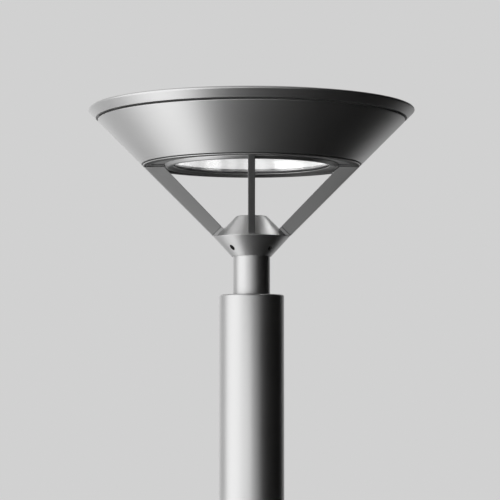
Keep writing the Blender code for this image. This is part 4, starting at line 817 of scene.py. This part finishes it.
def hinge_bore(sizes):
    """What is cut out of the hinge eyes for the pin."""
    return hinge_rod(sizes, -5 * PAST, 5 * PAST, HINGE_BORE)


def lug(sizes, root, start, end, width, offset):
    """A hinge eye with a web to its root points, centred at an offset along the pin."""
    outline = arc(hinge_place(sizes), HINGE_EYE, start, end, 16)
    turn = Matrix.Translation((offset, 0, 0)) @ Matrix.Rotation(math.radians(90), 4, "Z")
    return plate(outline + root, width / 2, turn)


class LAMP_OT_housing(bpy.types.Operator):
    """Draw the conical housing, the ring and lip below it, the seal in its seam and the hinge's pin"""

    bl_idname = "lamp.housing"
    bl_label = "Housing"
    bl_options = {"REGISTER", "UNDO"}

    def execute(self, context):
        sizes = context.scene.lamp_sizes
        low, top = housing_span(sizes)
        under, ring_top = sizes.underside, low - FIT
        edge = under + sizes.ring_edge
        lip_width, lip_gap = 0.0045, 0.0002
        inside = cone(sizes, edge) - lip_width
        lip = turned([
            (inside, edge), (cone(sizes, edge), edge, 2 * EDGE), (cone(sizes, under), under, SOFT_EDGE),
            (inside, under),
        ], RING_STEPS)
        settle("underside_lip", lifted(sizes, lip), "paint", "head")

        step, inner = cone(sizes, edge) - sizes.ring_seam_depth, cone(sizes, under) - sizes.ring_width
        rim = inside - lip_gap
        ring = turned([
            (step, ring_top), (step, edge), (rim, edge), (rim, under), (inner, under, FINE_EDGE),
            (inner, ring_top),
        ], RING_STEPS)
        half, seat_lap = sizes.arm_thickness / 2, 0.004

        def arm_seat():
            start, end = sizes.bezel_outer + 2 * FIT, inner + seat_lap
            return block((start, -half, under), (end, half, ring_top), edge=FINE_EDGE)

        ring = carved(ring, ("UNION", around(ARMS.values(), arm_seat)))
        # The ring wears the dark coat, painted shade of the head's underside
        settle("underside_ring", lifted(sizes, ring), "ring", "head", "lower_ring")

        wall, land_thickness = sizes.housing_wall / math.cos(math.radians(45)), 0.004
        top_edge, bezel_gap = 0.003, 0.0005
        floor, ceiling = low + sizes.housing_base, top - land_thickness
        opening, land = sizes.bezel_outer + bezel_gap, cone(sizes, top) - sizes.housing_land
        shell = turned([
            (land, top), (cone(sizes, top), top, top_edge), (cone(sizes, low), low, EDGE), (opening, low),
            (opening, floor), (cone(sizes, floor) - wall, floor), (cone(sizes, ceiling) - wall, ceiling),
            (land, ceiling),
        ], RING_STEPS)
        foot, eye_width, eye_place = top - 0.012, 0.014, 0.0193
        root = [(cone(sizes, foot) - HINGE_ROOT, foot), (cone(sizes, top) - HINGE_ROOT, top - FIT)]
        eyes = [lug(sizes, root, 180, -90, eye_width, side * eye_place) for side in (-1, 1)]
        tapped, tapped_depth, place = 0.009, 0.006, land + LID_SCREW_INSET

        def hole():
            return upright(place, 0, top - tapped_depth, top + PAST, tapped)

        shell = carved(
            shell, ("UNION", together(*eyes)), ("DIFFERENCE", hinge_bore(sizes)),
            ("DIFFERENCE", around(LID_SCREWS.values(), hole)),
        )
        settle("housing", lifted(sizes, shell), "paint", "head", "housing_shell")

        seal_inset, seal_width = 0.0045, 0.01
        seal_outer, base, roof = cone(sizes, top) - seal_inset, top + FIT, top + sizes.lid_seam - FIT
        seal_inner = seal_outer - seal_width
        seal = turned([
            (seal_outer, roof, FINE_EDGE), (seal_outer, base, FINE_EDGE), (seal_inner, base),
            (seal_inner, roof),
        ], RING_STEPS)
        settle("lid_seal", lifted(sizes, seal), "rubber", "head", "lid_gasket")
        pin_end, head, head_height, head_gap = 0.0264, 0.009, 0.0015, 0.0002
        pin = hinge_rod(sizes, -pin_end, pin_end, HINGE_PIN)
        head_places = (-pin_end - head_gap - head_height, pin_end + head_gap)
        heads = [hinge_rod(sizes, x, x + head_height, head, 32, 0.0004) for x in head_places]
        settle("lid_pin", lifted(sizes, together(pin, *heads)), "steel", "head", "hinge_pin")
        return {"FINISHED"}


def cap_screw(diameter, length_below, head, head_height):
    """A cap screw with its seat at height zero, its head above and a hexagon socket."""
    shape = turned([
        (0, head_height), (head / 2, head_height, head_height * 0.12), (head / 2, 0), (diameter / 2, 0),
        (diameter / 2, -length_below), (0, -length_below),
    ], 32)
    return bored(shape, upright(0, 0, head_height * 0.45, head_height * 2, diameter * 0.9, 6))


class LAMP_OT_lid(bpy.types.Operator):
    """Draw the lid with its conical band, domed roof, ribs, hinge eye and captive screws"""

    bl_idname = "lamp.lid"
    bl_label = "Lid"
    bl_options = {"REGISTER", "UNDO"}

    def execute(self, context):
        sizes = context.scene.lamp_sizes
        top = housing_span(sizes)[1]
        low = top + sizes.lid_seam
        rim = low + sizes.lid_band
        corner = rim - sizes.lid_edge
        edge = cone(sizes, corner) - sizes.lid_edge / math.sin(math.radians(45))
        flange = cone(sizes, top) - sizes.housing_land

        def roof(radius):
            return rim + sizes.lid_rise * (1 - (radius / edge) ** 2)

        steps = 12
        upper = [(edge * step / steps, roof(edge * step / steps)) for step in range(steps)]
        lower = [
            (flange * step / steps, roof(flange * step / steps) - sizes.lid_skin)
            for step in range(steps, -1, -1)
        ]
        shell = turned([
            *upper, *arc((edge, corner), sizes.lid_edge, 84, -45), (cone(sizes, low), low, EDGE),
            (flange, low), *lower,
        ], RING_STEPS)
        high, eye_width = low + 0.009, 0.024
        root = [(cone(sizes, high) - HINGE_ROOT, high), (cone(sizes, low) - HINGE_ROOT, low + FIT)]
        eye = lug(sizes, root, -180, 60, eye_width, 0)
        place, sunk, overlap, bite = flange + LID_SCREW_INSET, 0.001, 0.001, 0.007
        seat = roof(place) - sunk - LID_SCREW_HEAD_HEIGHT

        def way():
            shank = upright(place, 0, low - PAST, seat + overlap, LID_SCREW + FINE_EDGE)
            return together(shank, upright(place, 0, seat, seat + 2 * PAST, LID_SCREW_HEAD + FINE_EDGE))

        rib_count, rib_half, rib_start, rib_step, rib_reach, rib_lap = 12, 0.0015, 0.05, 0.025, 0.26, 0.0012
        spots = [rib_start + rib_step * number for number in range(9)]
        curve = [(spot, roof(spot) - rib_half) for spot in spots]
        deep = roof(rib_reach) - sizes.lid_skin + rib_lap

        def rib():
            return plate([*curve, (spots[-1], deep), (rib_start, deep)], rib_half)

        turns = [math.tau * number / rib_count for number in range(rib_count)]
        shell = carved(
            shell, ("UNION", around(turns, rib)), ("UNION", eye), ("DIFFERENCE", hinge_bore(sizes)),
            ("DIFFERENCE", around(LID_SCREWS.values(), way)),
        )
        settle("lid_roof", lifted(sizes, shell), "paint", "lid", "lid")
        for name, turn in LID_SCREWS.items():
            screw = cap_screw(LID_SCREW, seat - top + bite, LID_SCREW_HEAD, LID_SCREW_HEAD_HEIGHT)
            spot = Matrix.Rotation(turn, 4, "Z") @ Matrix.Translation((place, 0, seat + FIT))
            settle(f"lid_bolt_{name}", lifted(sizes, moved(screw, spot)), "steel", "lid", f"lid_screw_{name}")
        return {"FINISHED"}


class LAMP_OT_glazing(bpy.types.Operator):
    """Draw the bezel, the glass and the seal under it"""

    bl_idname = "lamp.glazing"
    bl_label = "Glazing"
    bl_options = {"REGISTER", "UNDO"}

    def execute(self, context):
        sizes = context.scene.lamp_sizes
        low = housing_span(sizes)[0]
        flange_low = low + sizes.housing_base + FIT
        flange_top, flange = flange_low + sizes.bezel_flange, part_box("glass_bezel")[1].x
        seal_height, ledge_height = 0.002, 0.001
        ledge = flange_top - sizes.glass_thickness - seal_height - 2 * FIT
        outer, opening, radius = sizes.bezel_outer, sizes.bezel_opening, sizes.glass_radius
        lip_outer, lip_inner, bottom = sizes.bezel_lip + 0.001, sizes.bezel_lip - 0.003, low - sizes.bezel_drop
        bezel = turned([
            (flange, flange_top), (flange, flange_low), (outer, flange_low), (outer, low - EDGE, EDGE),
            (lip_outer, bottom, 2 * EDGE), (lip_inner, bottom, 2 * FINE_EDGE),
            (opening, ledge - ledge_height, FINE_EDGE), (opening, ledge), (radius + FIT, ledge),
            (radius + FIT, flange_top),
        ], RING_STEPS)
        settle("bezel", lifted(sizes, bezel), "paint", "head", "glass_bezel")
        base = ledge + FIT
        seal = hoop(opening + FIT, radius, base, base + seal_height, 128)
        settle("pane_seal", lifted(sizes, seal), "rubber", "head", "glass_gasket")
        base += seal_height + FIT
        top = base + sizes.glass_thickness
        pane = turned([(0, top), (radius, top, EDGE), (radius, base, EDGE), (0, base)], 128)
        settle("pane", lifted(sizes, pane), "glass", "head", "glass_pane")
        dress("steel", "glass_retainer")
        return {"FINISHED"}


class LAMP_OT_light(bpy.types.Operator):
    """Draw the faceted reflector and the board with its light emitting diodes"""

    bl_idname = "lamp.light"
    bl_label = "Light Source"
    bl_options = {"REGISTER", "UNDO"}

    def execute(self, context):
        sizes = context.scene.lamp_sizes
        low, high = (corner.z - sizes.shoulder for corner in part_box("reflector"))
        mouth, crown, wall, steps = sizes.bezel_opening + 0.001, 0.07, 0.0012, 10
        brim = mouth + 0.008
        start, bend, end = Vector((mouth, low)), Vector((mouth - 0.0127, low + 0.0443)), Vector((crown, high))
        curve = []
        for step in range(steps + 1):
            along = step / steps
            curve.append(start.lerp(bend, along).lerp(bend.lerp(end, along), along))
        inner = [
            (point.x - wall, point.y - wall * min(1, 4 * step / steps)) for step, point in enumerate(curve)
        ]
        bowl = turned([
            *[tuple(point) for point in curve[:0:-1]], (mouth, low + wall), (brim, low + wall), (brim, low),
            *inner,
        ], context.scene.lamp_studio.facets)
        # The reflector's glow is painted light, with painted highlights where other mirrors see it
        paint_reflector_glow(coat("mirror"))
        settle("reflector_bowl", lifted(sizes, bowl), "mirror", "head", "reflector")

        low, high = (corner.z - sizes.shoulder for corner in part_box("led_board"))
        thick, radius, edge = 0.0016, 0.064, 0.0002
        under = high - thick
        board = turned([(0, high), (radius, high), (radius, under, edge), (0, under)], 96)
        settle("light_board", lifted(sizes, board), "board", "head", "led_board")
        chips, half, pitch = [], 0.0035, 0.025
        for ring in range(3):
            count = 6 * ring or 1
            for number in range(count):
                angle = math.tau * number / count
                x, y = ring * pitch * math.cos(angle), ring * pitch * math.sin(angle)
                chips.append(block((x - half, y - half, low), (x + half, y + half, under), edge=0.0005))
        settle("light_chips", lifted(sizes, together(*chips)), "phosphor", "head")
        dress("aluminium", "heat_sink")
        return {"FINISHED"}


def hex_nut(across, height, bore):
    """A hexagon nut that stands on height zero."""
    blank = upright(0, 0, 0, height, across / math.cos(math.radians(30)), 6)
    rounded(blank, blank.edges[:], height * 0.06)
    return bored(blank, upright(0, 0, -height, 2 * height, bore))


def slotted_screw(head, height):
    """A round slotted head that stands on height zero."""
    blank = turned([(0, height), (head / 2, height, height * 0.5), (head / 2, 0), (0, 0)], 28)
    return bored(blank, block((-head, -head * 0.08, height * 0.55), (head, head * 0.08, height * 2)))


class LAMP_OT_tray(bpy.types.Operator):
    """Draw the gear tray with its cable slots and nuts, and finish its posts"""

    bl_idname = "lamp.tray"
    bl_label = "Gear Tray"
    bl_options = {"REGISTER", "UNDO"}

    def execute(self, context):
        low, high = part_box("gear_tray")
        disc = turned([(0, high.z), (high.x, high.z, FINE_EDGE), (high.x, low.z, FINE_EDGE), (0, low.z)])
        reach = math.hypot(*[sum(span("tray_post_rear_right")[axis::3]) / 2 for axis in (0, 1)])
        slot_start, slot_end, slot_half = 0.145, 0.157, 0.016

        def stud_hole():
            return upright(reach, 0, low.z - PAST, high.z + PAST, diameter=0.0056)

        def cable_slot():
            start, end = (slot_start, -slot_half, low.z - PAST), (slot_end, slot_half, high.z + PAST)
            return block(start, end, corner=0.0055, along="Z")

        disc = bored(disc, around(BETWEEN_ARMS, stud_hole), around(BETWEEN_ARMS, cable_slot))
        settle("tray_sheet", disc, "aluminium", "head", "gear_tray")
        washer_height, washer_gap = 0.001, 0.0001

        def nut():
            washer = hoop(inner=0.0026, outer=0.005, low=0, high=washer_height, steps=32)
            raised = hex_nut(across=0.008, height=0.004, bore=0.0052)
            moved(raised, Matrix.Translation((0, 0, washer_height)))
            return moved(together(washer, raised), Matrix.Translation((reach, 0, high.z + washer_gap)))

        settle("tray_nuts", around(BETWEEN_ARMS, nut), "steel", "head")
        dress("steel", *[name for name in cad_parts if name.startswith("tray_post")])
        return {"FINISHED"}


class LAMP_OT_gear(bpy.types.Operator):
    """Draw the driver, the terminal block and the surge protector on the tray"""

    bl_idname = "lamp.gear"
    bl_label = "Gear"
    bl_options = {"REGISTER", "UNDO"}

    def execute(self, context):
        x0, y0, z0, x1, y1, z1 = span("driver")
        ear, thick, foot_inset, cover, cover_skin = 0.014, 0.002, 0.006, 0.02, 0.0008
        middle, groove, groove_foot, wire_height, lap = (x0 + x1) / 2, 0.0006, z0 + 0.004, z0 + 0.011, 0.001
        front, back, ears = y0 + ear, y1 - ear, (y0 + ear / 2, y1 - ear / 2)
        case = block((x0, front, z0), (x1, back, z1), corner=0.003, along="Z", edge=0.0012)
        foot = block(
            (x0 + foot_inset, y0, z0), (x1 - foot_inset, y1, z0 + thick), corner=0.004, along="Z"
        )
        grooves = [
            block((x0 - PAST, y - groove, groove_foot), (x1 + PAST, y + groove, z1 + PAST))
            for y in (front + cover, back - cover)
        ]
        entries = [
            rod((x, y, wire_height), (x, y + 2 * PAST * side, wire_height), diameter=0.0042, steps=20)
            for side, y in ((1, front - PAST), (-1, back + PAST))
            for x in (middle - 0.0135, middle - 0.0045, middle + 0.0045, middle + 0.0135)
        ]
        inner = block(
            (x0 + cover_skin, front + lap, z0 + lap), (x1 - cover_skin, back - lap, z1 - cover_skin)
        )
        holes = [upright(middle, y, z0 - PAST, z0 + PAST, diameter=0.005) for y in ears]
        case = carved(
            case, ("DIFFERENCE", together(*grooves)), ("UNION", inner), ("UNION", foot),
            ("DIFFERENCE", together(*entries)), ("DIFFERENCE", together(*holes)),
        )
        settle("driver_case", case, "pale_plastic", "head", "driver")
        spots = [(middle, y, z0 + thick) for y in ears]
        screws = placed(lambda: slotted_screw(head=0.008, height=0.0025), *spots)

        x0, y0, z0, x1, y1, z1 = span("terminal_block")
        ways, depth, gap, gap_foot, wire_height, spread = 5, 0.004, 0.0012, z0 + 0.005, z0 + 0.006, 0.0052
        pitch, middle = (y1 - y0) / ways, (x0 + x1) / 2
        poles = [y0 + pitch * (number + 0.5) for number in range(ways)]
        spots = [(x, y) for x in (middle - spread, middle + spread) for y in poles]
        gaps = [
            block((x0 - PAST, y + pitch / 2 - gap, gap_foot), (x1 + PAST, y + pitch / 2 + gap, z1 + PAST))
            for y in poles[:-1]
        ]
        wells = [upright(x, y, z1 - depth, z1 + PAST, diameter=0.0062, steps=24) for x, y in spots]
        wires = [
            rod((x0 - PAST, y, wire_height), (x1 + PAST, y, wire_height), diameter=0.005, steps=20)
            for y in poles
        ]
        body = block(*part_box("terminal_block"), edge=EDGE)
        body = bored(body, together(*gaps), together(*wells), together(*wires))
        settle("connector_block", body, "pale_plastic", "head", "terminal_block")
        spots = [(x, y, z1 - depth) for x, y in spots]
        clamps = placed(lambda: slotted_screw(head=0.0056, height=0.002), *spots)

        x0, y0, z0, x1, y1, z1 = span("surge_protector")
        middle, across, depth, groove, inset = (x0 + x1) / 2, (y0 + y1) / 2, 0.0015, 0.0007, 0.006
        seam_low, seam_high, sunk, radius = z0 + 0.006, z0 + 0.0068, 0.0004, 0.0033
        seam = bored(
            block((x0 - PAST, y0 - PAST, seam_low), (x1 + PAST, y1 + PAST, seam_high)),
            block((x0 + groove, y0 + groove, z0), (x1 - groove, y1 - groove, z1)),
        )
        shell = block(*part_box("surge_protector"), corner=0.004, along="Z", edge=0.0015)
        shell = bored(shell, upright(middle, across, z1 - depth, z1 + PAST, diameter=0.007), seam)
        settle("surge_case", shell, "plastic", "head", "surge_protector")
        lens = turned([(0, 0.0018), (radius, 0.0012, 0.0005), (radius, 0), (0, 0)], 32)
        settle("surge_lens", moved(lens, Matrix.Translation((middle, across, z1 - depth))), "lens", "head")
        corners = [(x, y, z1 - sunk) for x in (x0 + inset, x1 - inset) for y in (y0 + inset, y1 - inset)]
        lid_screws = placed(lambda: slotted_screw(head=0.005, height=0.0015), *corners)
        settle("gear_screws", together(screws, clamps, lid_screws), "steel", "head")
        return {"FINISHED"}


class LAMP_OT_equipment(bpy.types.Operator):
    """Draw the fuse box with its cover and glands, and finish what else is behind the door"""

    bl_idname = "lamp.equipment"
    bl_label = "Post Equipment"
    bl_options = {"REGISTER", "UNDO"}

    def execute(self, context):
        case = block(*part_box("fuse_box"), corner=0.004, along="Y", edge=EDGE)
        settle("fuse_case", case, "plastic", "post", "fuse_box")
        x0, y0, z0, x1, y1, z1 = span("fuse_box_cover")
        cover = block(*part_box("fuse_box_cover"), corner=0.004, along="Y", edge=0.0015)
        inset, drop, deep = 0.012, 0.03, 0.0015
        panel = block(
            (x0 + inset, y0 - PAST, z0 + drop), (x1 - inset, y0 + deep, z1 - drop), corner=0.003, along="Y"
        )
        margin, rib_inset, rib_pitch = 0.04, 0.016, 0.009
        rib_height, rib_front, rib_root = 0.003, 0.0008, 0.0022
        levels = [z0 + margin + rib_pitch * number for number in range(9)]
        ribs = [
            block((x0 + rib_inset, y0 + rib_front, z), (x1 - rib_inset, y0 + rib_root, z + rib_height))
            for z in levels if z < z1 - margin
        ]
        cover = carved(cover, ("DIFFERENCE", panel), ("UNION", together(*ribs)))
        settle("fuse_cover", cover, "pale_plastic", "post", "fuse_box_cover")
        facing = Matrix.Rotation(math.radians(90), 4, "X")
        inset, drop, sunk = 0.007, 0.008, 0.0002
        heads = [
            moved(slotted_screw(head=0.0065, height=0.0022), Matrix.Translation((x, y0 + sunk, z)) @ facing)
            for x in (x0 + inset, x1 - inset) for z in (z0 + drop, z1 - drop)
        ]
        settle("fuse_screws", together(*heads), "steel", "post")
        for side in ("left", "right"):
            x0, y0, z0, x1, y1, z1 = span(f"fuse_box_gland_{side}")
            radius, bore, shoulder, collar = (x1 - x0) / 2, 0.005, z0 + 0.009, z1 - 0.006
            crown, waist, flats_low, flats_high = radius * 0.72, radius * 0.86, z0 + 0.007, z1 - 0.0065
            dome = turned([
                (bore, z0, SOFT_EDGE), (crown, z0, 2 * SOFT_EDGE), (waist, shoulder, SOFT_EDGE),
                (waist, collar), (radius, collar, FINE_EDGE), (radius, z1), (bore, z1),
            ], 48)
            flats = upright(0, 0, flats_low, flats_high, 2 * radius * 0.98, 6)
            flats = bored(flats, upright(0, 0, z0, z1, radius * 1.2))
            dome = carved(dome, ("UNION", flats))
            dome = moved(dome, Matrix.Translation(((x0 + x1) / 2, (y0 + y1) / 2, 0)))
            settle(f"cable_gland_{side}", dome, "plastic", "post", f"fuse_box_gland_{side}")
        dress("zinc", "equipment_rail", "door_strip_left", "door_strip_right", "door_tongue")
        dress("brass", "earth_stud")
        return {"FINISHED"}


# Stage

# Brightness of the cards, and the flat ones with their lower and upper corners
CARD_GLOWS = {"black_card": 0.0, "dark_card": 0.012, "grey_card": 0.25, "white_card": 0.85}
FLAT_CARDS = (
    ("under_card", "dark_card", (-1.65, -3.6, 0.003), (3.6, 3.6, 0.004)),
    ("far_card", "dark_card", (-3.0, 3.6, 0.003), (3.0, 38.0, 0.004)),
    ("glass_card", "white_card", (-2.2, 28.5, 0.005), (2.2, 37.0, 0.006)),
    ("left_card", "grey_card", (-8.0, 7.0, 0.003), (-3.0, 38.0, 0.004)),
    ("left_wall", "grey_card", (-8.0, 37.9, 0.0), (-0.4, 38.0, 6.0)),
    ("far_wall", "dark_card", (-0.4, 37.9, 0.0), (3.0, 38.0, 3.6)),
    ("front_card", "dark_card", (-1.2, -4.02, 3.6), (3.5, -4.0, 6.5)),
)

# Each light: the name of its power, its place, the point it faces, its width and height
LIGHTS = {
    "key": ("key_power", (-1.3, -1.0, 3.0), (0, -1.0, 3.0), (2.3, 4.6)),
    "low_kick": ("kick_power", (-1.18, 0.25, 2.0), (0, 0, 3.55), (1.4, 1.1)),
    "front_low": ("front_power", (-0.75, -3.1, 2.85), (0, 0, 3.1), (1.6, 1.1)),
    "rear_fill": ("fill_power", (-2.0, 4.0, 3.5), (0, 0, 2.5), (3.0, 4.0)),
}


def curved_sheet(radius, start, end, low, high):
    """An upright sheet on an arc about Z, with angles in degrees from the front towards the right."""
    sheet = bmesh.new()
    bmesh.ops.create_circle(sheet, segments=96, radius=radius)
    angles = {vert: math.degrees(math.atan2(vert.co.x, -vert.co.y)) for vert in sheet.verts}
    spare = [vert for vert, angle in angles.items() if not start <= angle <= end]
    bmesh.ops.delete(sheet, geom=spare, context="VERTS")
    grown = bmesh.ops.extrude_edge_only(sheet, edges=sheet.edges[:])
    bmesh.ops.translate(sheet, vec=(0, 0, high - low), verts=new_verts(grown))
    return moved(sheet, Matrix.Translation((0, 0, low)))


def card(name, kind, drawing):
    """A card that only reflections and rays through glass see."""
    obj = as_object(name, drawing)
    obj.data.materials.append(coat("card", name=kind, Emission_Strength=CARD_GLOWS[kind]))
    obj.visible_camera = False
    obj.visible_shadow = False
    obj.visible_diffuse = False


def area_light(name, power, place, target, size):
    """A soft light that faces a point."""
    data = bpy.data.lights.new(name, "AREA")
    data.shape = "RECTANGLE"
    data.size, data.size_y = size
    data.energy = power
    obj = bpy.data.objects.new(name, data)
    obj.location = place
    obj.rotation_euler = (Vector(target) - Vector(place)).to_track_quat("-Z", "Y").to_euler()
    obj.visible_camera = False
    bpy.context.scene.collection.objects.link(obj)


class LAMP_OT_stage(bpy.types.Operator):
    """Set up the floor, the background, the lights and the camera"""

    bl_idname = "lamp.stage"
    bl_label = "Stage"
    bl_options = {"REGISTER", "UNDO"}

    def execute(self, context):
        scene = context.scene
        studio = scene.lamp_studio
        scene.view_settings.view_transform = "Standard"
        disc = bmesh.new()
        bmesh.ops.create_circle(disc, cap_ends=True, segments=96, radius=40.0)
        floor = as_object("floor", disc)
        floor.data.materials.append(coat("backdrop"))

        scene.world = bpy.data.worlds.new("studio")
        scene.world.use_nodes = True
        tree = scene.world.node_tree
        path = add(tree, "LightPath", {}).outputs
        seen = path["Is Camera Ray"]
        for label in ("Is Glossy Ray", "Is Transmission Ray"):
            seen = add(tree, "Math", {0: seen, 1: path[label]}, operation="MAXIMUM").outputs[0]
        sky = tint(tree, seen, (studio.ambience,) * 3, scene.lamp_finishes.backdrop)
        tree.links.new(sky, tree.nodes["Background"].inputs["Color"])

        side = curved_sheet(radius=1.6, start=25, end=140, low=-1.0, high=6.0)
        card("side_card", "black_card", side)
        for name, kind, low, high in FLAT_CARDS:
            card(name, kind, block(low, high))
        for name, (power_name, *how) in LIGHTS.items():
            area_light(name, getattr(studio, power_name), *how)

        camera = bpy.data.objects.new("camera", bpy.data.cameras.new("camera"))
        scene.collection.objects.link(camera)
        camera.data.lens = studio.lens
        camera.data.sensor_width = studio.sensor
        camera.location = (studio.sideways, -studio.distance, studio.camera_height)
        camera.rotation_euler = (math.radians(90) + studio.tilt, 0, 0)
        scene.camera = camera
        return {"FINISHED"}


OPERATORS = (
    LAMP_OT_post, LAMP_OT_base, LAMP_OT_door, LAMP_OT_hub, LAMP_OT_arms, LAMP_OT_housing, LAMP_OT_lid,
    LAMP_OT_glazing, LAMP_OT_light, LAMP_OT_tray, LAMP_OT_gear, LAMP_OT_equipment, LAMP_OT_stage,
)


class LAMP_PT_panel(bpy.types.Panel):
    """Lists the operators that build the lamp post"""

    bl_idname = "LAMP_PT_panel"
    bl_label = "Street Lamp Post"
    bl_space_type = "VIEW_3D"
    bl_region_type = "UI"
    bl_category = "Lamp"

    def draw(self, context):
        for operator in OPERATORS:
            self.layout.operator(operator.bl_idname)


CLASSES = (LampSizes, LampFinishes, LampStudio, *OPERATORS, LAMP_PT_panel)


def register():
    for cls in CLASSES:
        bpy.utils.register_class(cls)
    bpy.types.Scene.lamp_sizes = PointerProperty(type=LampSizes)
    bpy.types.Scene.lamp_finishes = PointerProperty(type=LampFinishes)
    bpy.types.Scene.lamp_studio = PointerProperty(type=LampStudio)


def unregister():
    del bpy.types.Scene.lamp_studio
    del bpy.types.Scene.lamp_finishes
    del bpy.types.Scene.lamp_sizes
    for cls in reversed(CLASSES):
        bpy.utils.unregister_class(cls)


def main():
    """Dress the lamp post and set the stage."""
    register()
    for operator in OPERATORS:
        getattr(bpy.ops.lamp, operator.bl_idname.partition(".")[2])()


if __name__ == "__main__":
    main()
